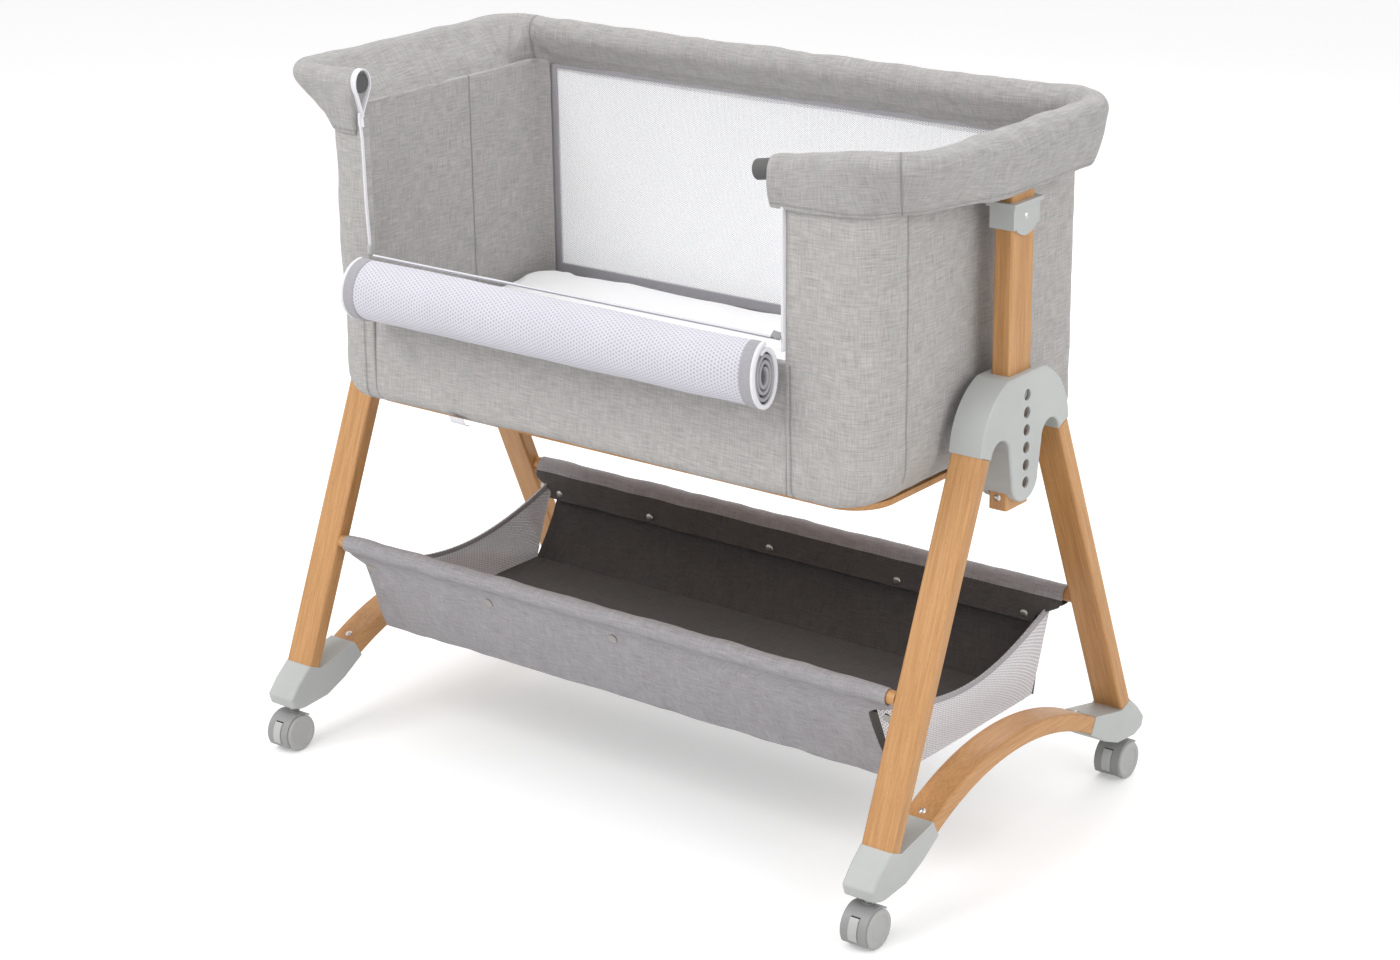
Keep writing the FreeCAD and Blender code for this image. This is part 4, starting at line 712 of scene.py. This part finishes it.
def puff(piece, pressure, cap, held):
    """Fill a closed cover with foam: air pressure swells it, and no point moves past the cap."""
    pick(piece)
    before = [vertex.co.copy() for vertex in piece.data.vertices]
    pins = piece.vertex_groups.new(name="sewn")
    pins.add([number for number, place in enumerate(before) if held(place)], 1.0, "REPLACE")
    modifier = piece.modifiers.new("foam", "CLOTH")
    settings = modifier.settings
    settings.use_pressure = True
    settings.uniform_pressure_force = pressure
    settings.effector_weights.gravity = 0
    settings.quality = 5
    settings.vertex_group_mass = "sewn"
    modifier.point_cache.frame_start = 1
    modifier.point_cache.frame_end = SWELL_FRAMES
    for moment in range(1, SWELL_FRAMES + 1):
        bpy.context.scene.frame_set(moment)
    bpy.ops.object.modifier_apply(modifier=modifier.name)
    bpy.context.scene.frame_set(1)
    piece.vertex_groups.clear()
    for vertex, place in zip(piece.data.vertices, before):
        shift = vertex.co - place
        if shift.length > cap:
            vertex.co = place + shift * (cap / shift.length)


rail_sleeve = cut_cloth("rail_sleeve", rail_long, SLEEVE_AROUND, 0.0062,
                        lambda u, v: rail_point(u, v / SLEEVE_AROUND))
close_ends(rail_sleeve)
puff(rail_sleeve, 3.0, 0.004, lambda place: place.z < 0.803)
ruffle(rail_sleeve, (0.060, 0.0022), (0.022, 0.0013), (0.009, 0.0005))
finish_piece(rail_sleeve, "SUBSURF", levels=1, render_levels=1)
smooth(rail_sleeve, 60)

# Cross seams: in the front right corner, and where the rear left corner starts.
CROSS_SEAMS = (0.155, rail_runs[2 * (ARC_STEPS + 1) + 1])


def rail_linen():
    """The tub's cloth painted about a tenth darker, as painted shade against the strong light on the rail's
    top, with painted shade along the sleeve's cross seams and its stitched hem.
    """
    # These colours are the tub's linen dimmed to about nine tenths: painted shade that offsets the top light
    # on the rail.
    cloth, u, weft, colour, height = weave("linen_rail_painted_shade", (0.472, 0.458, 0.448), (0.300, 0.289, 0.281))
    z = cloth.parts(cloth.place())[2]
    # Painted shade darkens the hem's stitch line and the cross seams' valleys.
    seam_shade = cloth.step(z.distance(HEM_STITCH_Z), 0.0003, 0.0011, 0.6, 0.0)
    for run in CROSS_SEAMS:
        away = u.distance(run)
        seam_shade = seam_shade + cloth.step(away, *SEAM_SHADE_STEP)
        height = height - cloth.step(away, 0.0005, 0.0035, 1.0, 0.0) * 5.0
    height = height - cloth.step(z.distance(HEM_STITCH_Z), 0.0004, 0.0026, 1.0, 0.0) * 4.0
    return sew(cloth, weft, cloth.blend(seam_shade * 0.5, colour, dim(LINEN_DEEP, 0.45)), height)


rail_sleeve.data.materials.append(rail_linen())
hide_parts("padded_rail")
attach(rail_sleeve, "bassinet")


# ---------------------------------------------------------------- mesh window
# White open knit across the whole back, with a woven grey tape sewn round its edge.


def open_knit(name, thread, hole, cell, gaps, see_through):
    """Knitted mesh: rows of holes at 60 degrees, seen through by a share; where not seen through, the holes
    take the hole colour, which on the roll is painted shade for the layers behind.
    """
    knit = Finish(name, 0.75, Sheen_Weight=0.1)
    u, v, _ = knit.parts(knit.place("UV"))
    across = math.tau / cell
    rows = (u * across).sine() * 0.5 + (u * (across * 0.5) + v * (across * 0.866)).sine() * 0.5
    rows = rows + (u * (across * 0.5) - v * (across * 0.866)).sine() * 0.5
    opened = knit.step(rows, gaps, gaps + 0.35)
    cloud = knit.noise(knit.place(), 18.0, 3.0)
    knit.feed("Base Color", knit.blend(opened * 0.85, knit.blend(cloud * 0.3, thread, hole), hole))
    if see_through:
        knit.feed("Alpha", 1.0 - opened * see_through)
    knit.bump(rows, 0.0004, 0.6)
    return knit.material


WINDOW_HALF_X, WINDOW_Y, WINDOW_LOW_Z = 0.3835, 0.199, 0.5175
WINDOW_TALL = WALL_TOP_Z - WINDOW_LOW_Z
BINDING_WIDE = 0.013
window_net = cut_cloth("window_net", 2 * WINDOW_HALF_X, WINDOW_TALL, 0.010,
                       lambda u, v: Vector((WINDOW_HALF_X - u, WINDOW_Y, WINDOW_LOW_Z + v)))
ruffle(window_net, (0.12, 0.0016), (0.03, 0.0003))
finish_piece(window_net, "SOLIDIFY", thickness=0.0008, offset=0)
smooth(window_net)
window_net.data.materials.append(open_knit("window_knit", (0.95, 0.95, 0.97), (0.84, 0.84, 0.87),
                                           0.0021, -0.25, 0.8))
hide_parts("window_mesh")
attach(window_net, "bassinet")


def woven_tape(name, pale, deep, rib):
    """Narrow tape with slanting ribs; rib is their pitch."""
    tape = Finish(name, 0.8, Sheen_Weight=0.1)
    spot = tape.place()
    x, y, z = tape.parts(spot)
    ribs = ((x + y + z) * (math.tau / rib)).sine()
    fuzz = tape.noise(spot, 500.0, 2.0)
    tape.feed("Base Color", tape.blend(fuzz * 0.6 + ribs * 0.15, deep, pale))
    tape.bump(ribs * 0.6 + fuzz * 0.5, 0.0003, 0.6)
    return tape.material


grey_tape = woven_tape("grey_tape", (0.53, 0.52, 0.55), (0.34, 0.33, 0.355), 0.0018)
white_tape = woven_tape("white_tape", (0.92, 0.92, 0.94), (0.78, 0.78, 0.82), 0.0016)

bpy.ops.object.select_all(action="DESELECT")
bpy.ops.mesh.primitive_plane_add(size=1, location=(0, WINDOW_Y, (WINDOW_LOW_Z + WALL_TOP_Z) / 2),
                                 rotation=(math.radians(90), 0, 0))
window_tape = settle("window_tape", (2 * WINDOW_HALF_X, WINDOW_TALL, 1))
bpy.ops.object.mode_set(mode="EDIT")
bpy.ops.mesh.select_all(action="SELECT")
bpy.ops.mesh.inset(thickness=BINDING_WIDE)
bpy.ops.mesh.delete(type="FACE")
bpy.ops.mesh.select_all(action="SELECT")
bpy.ops.mesh.subdivide(number_cuts=10)
bpy.ops.object.mode_set(mode="OBJECT")
finish_piece(window_tape, "SOLIDIFY", thickness=0.0046, offset=0)
soften(window_tape, 0.0012)
smooth(window_tape)
window_tape.data.materials.append(grey_tape)
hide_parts("window_binding")
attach(window_tape, "bassinet")


# ---------------------------------------------------------------- mattress
# A white foam slab in a soft woven cover, lying on the floor cloth and crowned in its middle.

MATTRESS_PLACE, MATTRESS_SIZE = (0, -0.0035, 0.5003), (0.762, 0.368, 0.0556)
bpy.ops.object.select_all(action="DESELECT")
bpy.ops.mesh.primitive_cube_add(size=1, location=MATTRESS_PLACE)
mattress = settle("mattress_pad", MATTRESS_SIZE)


def round_edges(piece, wanted, offset, segments):
    """Bevel the edges whose middle and direction are wanted, and no others."""
    bpy.ops.object.mode_set(mode="EDIT")
    bpy.ops.mesh.select_mode(type="EDGE")
    bpy.ops.mesh.select_all(action="DESELECT")
    bpy.ops.object.mode_set(mode="OBJECT")
    for edge in piece.data.edges:
        first, second = (piece.data.vertices[number].co for number in edge.vertices)
        edge.select = wanted((first + second) / 2, (second - first).normalized())
    bpy.ops.object.mode_set(mode="EDIT")
    bpy.ops.mesh.bevel(offset=offset, segments=segments)
    bpy.ops.object.mode_set(mode="OBJECT")


# The upright corners first, then the edges of the underside and of the top.
round_edges(mattress, lambda middle, along: abs(along.z) > 0.9, 0.048, 8)
round_edges(mattress, lambda middle, along: middle.z < 0.473, 0.018, 4)
round_edges(mattress, lambda middle, along: middle.z > 0.526, 0.009, 3)
finish_piece(mattress, "REMESH", mode="VOXEL", voxel_size=0.0055)
puff(mattress, 4.0, 0.005, lambda place: place.z < 0.474)
ruffle(mattress, (0.09, 0.0030), (0.030, 0.0012))
finish_piece(mattress, "SUBSURF", levels=1, render_levels=1)
smooth(mattress, 60)
cover = Finish("mattress_cover", 0.85, Sheen_Weight=0.15)
cover_spot = cover.place()
cover_x, cover_y, cover_z = cover.parts(cover_spot)
cover_cloud = cover.noise(cover_spot, 30.0, 3.0)
cover_thread = cover.noise(cover.point(cover_x * 90, cover_y * 900, cover_z * 900), 1.0, 2.0)
cover.feed("Base Color", cover.blend(cover_cloud * 0.5 + cover_thread * 0.4,
                                     (0.95, 0.95, 0.965), (0.985, 0.985, 0.99)))
cover.bump(cover_thread + (cover_x * (math.tau / 0.0012)).sine() * 0.3, 0.0003, 0.6)
mattress.data.materials.append(cover.material)
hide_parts("mattress")
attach(mattress, "bassinet")


# ---------------------------------------------------------------- rolled-down front panel
# The mesh front is unzipped and rolled outward in front of the low wall; grey tape with a white
# edge binds both ends of the roll.

ROLL_Y, ROLL_Z, ROLL_RADIUS, ROLL_PITCH, ROLL_TURNS = -0.2365, 0.604, 0.0385, 0.0070, 4
ROLL_LEFT_X, ROLL_RIGHT_X = -0.306, 0.281
LOOSE_FROM_X, LOOSE_LONG = 0.19, 0.091       # the roll's right end is loose and squashed
LOOSE_SHARE, LOOSE_Y = 0.36, -0.2425
ROLL_INSET = 0.006                           # of the net under its bound ends
BAND_WIDE, PIPING_WIDE = 0.017, 0.0045
OUTER_TURN = 0.236
spiral_long = math.tau * ROLL_TURNS * (ROLL_RADIUS - ROLL_PITCH * ROLL_TURNS / 2)


def spiral(x, along, proud=0.0):
    """A point of the rolled sheet, counted from its inner end."""
    left = spiral_long - along
    inner = math.sqrt(max(ROLL_RADIUS ** 2 - left * ROLL_PITCH / math.pi, 0))
    turned = (ROLL_RADIUS - inner) * math.tau / ROLL_PITCH
    radius = ROLL_RADIUS - ROLL_PITCH * turned / math.tau - 0.0012 + proud
    angle = math.pi / 2 + turned
    loose = 1 + 0.03 * noise.noise(Vector((x * 7, turned * 0.8, 0.3)))
    sag = 0.0007 * math.sin(x * 9.0)
    y = ROLL_Y + radius * loose * math.cos(angle)
    y += LOOSE_SHARE * ease(x, LOOSE_FROM_X, LOOSE_LONG) * (LOOSE_Y - y)
    return Vector((x, y, ROLL_Z + radius * loose * math.sin(angle) - sag))


roll = cut_cloth("roll_net", ROLL_RIGHT_X - ROLL_LEFT_X - 2 * ROLL_INSET, spiral_long, 0.0055,
                 lambda u, v: spiral(ROLL_LEFT_X + ROLL_INSET + u, v))
ruffle(roll, (0.05, 0.0007))
finish_piece(roll, "SOLIDIFY", thickness=0.0022, offset=-1)
smooth(roll)
# The roll's holes are not seen through: their dark colour is painted shade for the rolled layers behind
# them.
roll.data.materials.append(open_knit("roll_knit", (0.70, 0.692, 0.755), (0.40, 0.392, 0.45),
                                     0.0040, 0.25, 0.0))
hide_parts("rolled_panel")
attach(roll, "bassinet")

# Bands run all the way in; the piping shows only on the outer turn.
for name, low_x, wide, long, tape, proud, thick in (
        ("roll_band_left", ROLL_LEFT_X + 0.002, BAND_WIDE, spiral_long, grey_tape, 0.0012, 0.0040),
        ("roll_band_right", ROLL_RIGHT_X - 0.019, BAND_WIDE, spiral_long, grey_tape, 0.0012, 0.0040),
        ("roll_piping_left", ROLL_LEFT_X, PIPING_WIDE, OUTER_TURN, white_tape, 0.0018, 0.0052),
        ("roll_piping_right", ROLL_RIGHT_X - PIPING_WIDE, PIPING_WIDE, OUTER_TURN, white_tape,
         0.0018, 0.0052)):
    band = cut_cloth(name, wide, long, 0.0040,
                     lambda u, v: spiral(low_x + u, spiral_long - long + v, proud))
    finish_piece(band, "SOLIDIFY", thickness=thick, offset=-1)
    soften(band, 0.0012, 50)
    smooth(band, 50)
    band.data.materials.append(tape)
    if name == "roll_band_left":
        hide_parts("rolled_panel_bindings")
    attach(band, "bassinet")


# ---------------------------------------------------------------- storage basket
# Two slanting cloth panels hang from sleeves round the rods and meet at a stiffened floor; open
# mesh closes the ends below a drooping bound edge, and snaps hold the inner flaps.

ROD_Y, ROD_Z, SLEEVE_RADIUS = 0.18485, 0.2515, 0.0100
SLEEVE_WRAP = SLEEVE_RADIUS * math.radians(262)
FOOT_Y, FOOT_Z = 0.144, 0.1335               # where a panel meets the basket's floor
PANEL_LONG = 0.808
FOOT_HALF_X, NECK_NARROWER, NECK_Z = 0.385, 0.013, 0.222
SLEEVE_HALF_X = 0.4035
FLAP_LONG = 0.036
FLAP_TOP_Z = 0.249
BASKET_PALE = (0.415, 0.400, 0.420)
BASKET_DEEP = (0.270, 0.258, 0.270)
basket_outside = linen("basket_cloth", BASKET_PALE, BASKET_DEEP)
# The basket's inside is painted near black as shade, for the shade under the tub.
shade_painted_inside = linen("basket_painted_shade", (0.100, 0.092, 0.090), (0.058, 0.053, 0.052))
slant = (Vector((ROD_Y, ROD_Z - SLEEVE_RADIUS)) - Vector((FOOT_Y, FOOT_Z)))
SLANT_LONG = slant.length


def basket_half_at(z):
    """Half the panel's width: narrow at the neck and wide in the sleeve round the rod."""
    low_half = FOOT_HALF_X - NECK_NARROWER * min(max(z - 0.130, 0) / 0.092, 1)
    return low_half + (SLEEVE_HALF_X - low_half) * ease(z, NECK_Z, 0.0195)


def panel_point(share, along, face):
    """A point of a panel: along runs up the slant, over the rod and down the inner flap."""
    belly = 0.0
    if along < SLANT_LONG:
        part = along / SLANT_LONG
        y, z = FOOT_Y + slant.x * part, FOOT_Z + slant.y * part
        belly = 0.004 * math.sin(math.pi * part)
    elif along < SLANT_LONG + SLEEVE_WRAP:
        angle = math.radians(-90) + (along - SLANT_LONG) / SLEEVE_RADIUS
        y, z = ROD_Y + SLEEVE_RADIUS * math.cos(angle), ROD_Z + SLEEVE_RADIUS * math.sin(angle)
    else:
        past = along - SLANT_LONG - SLEEVE_WRAP
        y = ROD_Y - SLEEVE_RADIUS * 0.99 - past * 0.34 - 0.001
        z = ROD_Z - SLEEVE_RADIUS * 0.1 - past * 0.94
    x = (share - 0.5) * 2 * basket_half_at(z)
    dip = 0.0022 * noise.noise(Vector((x * 22, face, z * 9)))
    return Vector((-face * x, face * (y + belly + dip), z))


panel_long = SLANT_LONG + SLEEVE_WRAP + FLAP_LONG
for end, face in (("front", -1), ("rear", 1)):
    panel = cut_cloth("basket_side_" + end, PANEL_LONG, panel_long, 0.0046,
                      lambda u, v: panel_point(u / PANEL_LONG, v, face))
    ruffle(panel, (0.05, 0.0012), (0.018, 0.0006))
    # SOLIDIFY gives the cloth's inner side the next material, the dark painted shade of the basket's inside;
    # the flap has it on both.
    panel.data.materials.append(basket_outside)
    panel.data.materials.append(shade_painted_inside)
    for patch in panel.data.polygons:
        outside_y = FOOT_Y + (patch.center.z - FOOT_Z) * slant.x / slant.y
        if patch.center.z < FLAP_TOP_Z and abs(patch.center.y) < outside_y - 0.004:
            patch.material_index = 1
    finish_piece(panel, "SOLIDIFY", thickness=0.0012, offset=0, material_offset=1)
    smooth(panel, 60)
    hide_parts("basket_panel_" + end)
    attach(panel, "stand")

# The basket's floor cloth is painted dark as the shade under the tub.
basket_base = flat_cloth("basket_base", 0.3825, 0.1425, 0.1375, 0.0035,
                         linen("basket_floor_painted_shade", (0.097, 0.090, 0.086), (0.057, 0.052, 0.050)))
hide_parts("basket_floor")
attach(basket_base, "stand")


NET_WIDE, NET_TALL, EDGE_TALL = 0.36, 0.10, 0.010
NET_LOW_Z, NET_HIGH_Z, NET_DROOP = 0.134, 0.2395, 0.042
EDGE_FROM = 0.90             # the share of the net's height where its bound edge starts


def net_edge_z(y):
    """The drooping top edge of the mesh ends."""
    reach = min(abs(y) / 0.181, 1.0)
    return NET_HIGH_Z - NET_DROOP * (1 - reach ** 2)


def net_end(share_y, share_z, side, low):
    """A point of a mesh end, or of its bound edge where low is the share that it starts at."""
    z_top = net_edge_z((share_y - 0.5) * NET_WIDE)
    z = NET_LOW_Z + (z_top - NET_LOW_Z) * (low + (1 - low) * share_z)
    half = FOOT_Y - 0.0015 + (z - FOOT_Z) * slant.x / slant.y
    y = (share_y - 0.5) * 2 * half
    bulge = 0.003 * math.sin(math.pi * min((z - NET_LOW_Z) / 0.09, 1)) * (1 - (y / 0.19) ** 2)
    return Vector((side * (0.3836 + bulge), side * y, z))


end_knit = open_knit("basket_knit", (0.88, 0.88, 0.92), (0.62, 0.62, 0.67), 0.0036, 0.25, 0.75)
for side_name, side in (("left", -1), ("right", 1)):
    net = cut_cloth("basket_net_" + side_name, NET_WIDE, NET_TALL, 0.0055,
                    lambda u, v: net_end(u / NET_WIDE, v / NET_TALL, side, 0.0))
    ruffle(net, (0.04, 0.0010))
    finish_piece(net, "SOLIDIFY", thickness=0.0008, offset=0)
    smooth(net)
    net.data.materials.append(end_knit)
    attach(net, "stand")
    edge = cut_cloth("basket_edge_" + side_name, NET_WIDE, EDGE_TALL, 0.004,
                     lambda u, v: net_end(u / NET_WIDE, v / EDGE_TALL, side, EDGE_FROM))
    finish_piece(edge, "SOLIDIFY", thickness=0.0032, offset=0)
    soften(edge, 0.001)
    smooth(edge)
    edge.data.materials.append(grey_tape)
    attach(edge, "stand")
    if side == 1:
        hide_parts("basket_mesh_ends")
        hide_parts("basket_bindings")


# ---------------------------------------------------------------- zip tapes and tabs
# White zip tape edges both sides of the opening, a loop of it goes round the rail's left end,
# and a short webbing tab shows under the front hem.


def strip(name, width, across, places, thick, material):
    """A narrow tape along a line of places; across is the direction of its width."""
    places = [Vector(place) for place in places]
    across = Vector(across).normalized()
    runs = run_lengths(places)
    tape = cut_cloth(name, width, runs[-1], 0.004, lambda u, v:
                     place_on(places, runs, min(v, runs[-1]))[0] + across * (u - width / 2))
    finish_piece(tape, "SOLIDIFY", thickness=thick, offset=0)
    soften(tape, thick * 0.3)
    smooth(tape, 60)
    tape.data.materials.append(material)
    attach(tape, "bassinet")


ALONG_X, ALONG_Y = (1, 0, 0), (0, 1, 0)
strip("zip_tape_left", 0.0040, ALONG_Y,
      [(-0.3205, -0.2115, 0.806), (-0.3175, -0.2115, 0.775),
       (-0.3170, -0.2110, 0.70), (-0.3150, -0.2105, 0.650)], 0.0022, white_tape)
strip("zip_tape_right", 0.012, ALONG_Y,
      [(0.2835, -0.2085, 0.782), (0.2835, -0.2085, 0.625)], 0.0035, white_tape)

# The loop goes round the end of the rail's pad, and its two legs are pinched together below it.
LOOP_X, LOOP_HALF_Y, LOOP_HALF_Z = -0.3230, 0.0125, 0.0168
loop_places = [(-0.3220, -0.2060, 0.8010)]
for step in range(ARC_STEPS + 1):
    angle = math.radians(-40 + 260 * step / ARC_STEPS)
    loop_places.append((LOOP_X, RAIL_FRONT_Y - LOOP_HALF_Y * math.cos(angle),
                        RAIL_Z + LOOP_HALF_Z * math.sin(angle)))
loop_places += [(-0.3220, -0.2085, 0.8010), (-0.3190, -0.2105, 0.790)]
strip("end_loop_left", 0.0085, ALONG_X, loop_places, 0.0016, white_tape)


def small_moulding(name, place, size, turn, edge, material):
    """A small plastic block with rounded edges."""
    bpy.ops.object.select_all(action="DESELECT")
    bpy.ops.mesh.primitive_cube_add(size=1, location=place, rotation=turn)
    piece = settle(name, size)
    finish_piece(piece, "BEVEL", width=edge, segments=3)
    smooth(piece)
    piece.data.materials.append(material)
    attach(piece, "bassinet")


small_moulding("zip_slider", (-0.3150, -0.2118, 0.645), (0.0045, 0.0036, 0.010), (0, 0, 0),
               0.0009, cool_grey)

# The zip line along the roll's upper back edge, and its pull at the right end.
ZIP_ACROSS = (0, 0.75, -0.66)
zip_places = [(x, -0.2165 + 0.0004 * math.sin(x * 40), 0.6400)
              for x in (-0.304, -0.20, -0.10, 0.0, 0.10, 0.20, 0.279)]
strip("roll_zip", 0.0050, ZIP_ACROSS, zip_places, 0.0022, white_tape)
strip("roll_zip_teeth", 0.0016, ZIP_ACROSS, [(x, y - 0.0006, z + 0.0007) for x, y, z in zip_places],
      0.0030, grey_tape)
small_moulding("zip_pull", (0.2770, -0.2150, 0.6425), (0.011, 0.009, 0.0035), (0.6, 0.25, 0.3),
               0.0010, hood_grey)
strip("hem_tab", 0.022, ALONG_X,
      [(-0.190, -0.2105, 0.462), (-0.190, -0.2070, 0.4535), (-0.190, -0.1990, 0.4505)],
      0.0012, white_tape)

# The snaps' domed caps on the inner flaps.
SNAP_XS = (0.358, 0.178, -0.014, -0.206, -0.358)
SNAP_Y, SNAP_Z, SNAP_RADIUS, SNAP_FLATTEN = 0.1632, 0.2235, 0.0055, 0.38
for end, face in (("front", -1), ("rear", 1)):
    for x in SNAP_XS:
        bpy.ops.object.select_all(action="DESELECT")
        bpy.ops.mesh.primitive_uv_sphere_add(segments=20, ring_count=10, radius=SNAP_RADIUS,
                                             location=(x, face * SNAP_Y, SNAP_Z))
        stud = settle("snap_stud_%s_%d" % (end, round(1000 * x)), (1, SNAP_FLATTEN, 1))
        smooth(stud)
        stud.data.materials.append(snap_nickel)
        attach(stud, "stand")
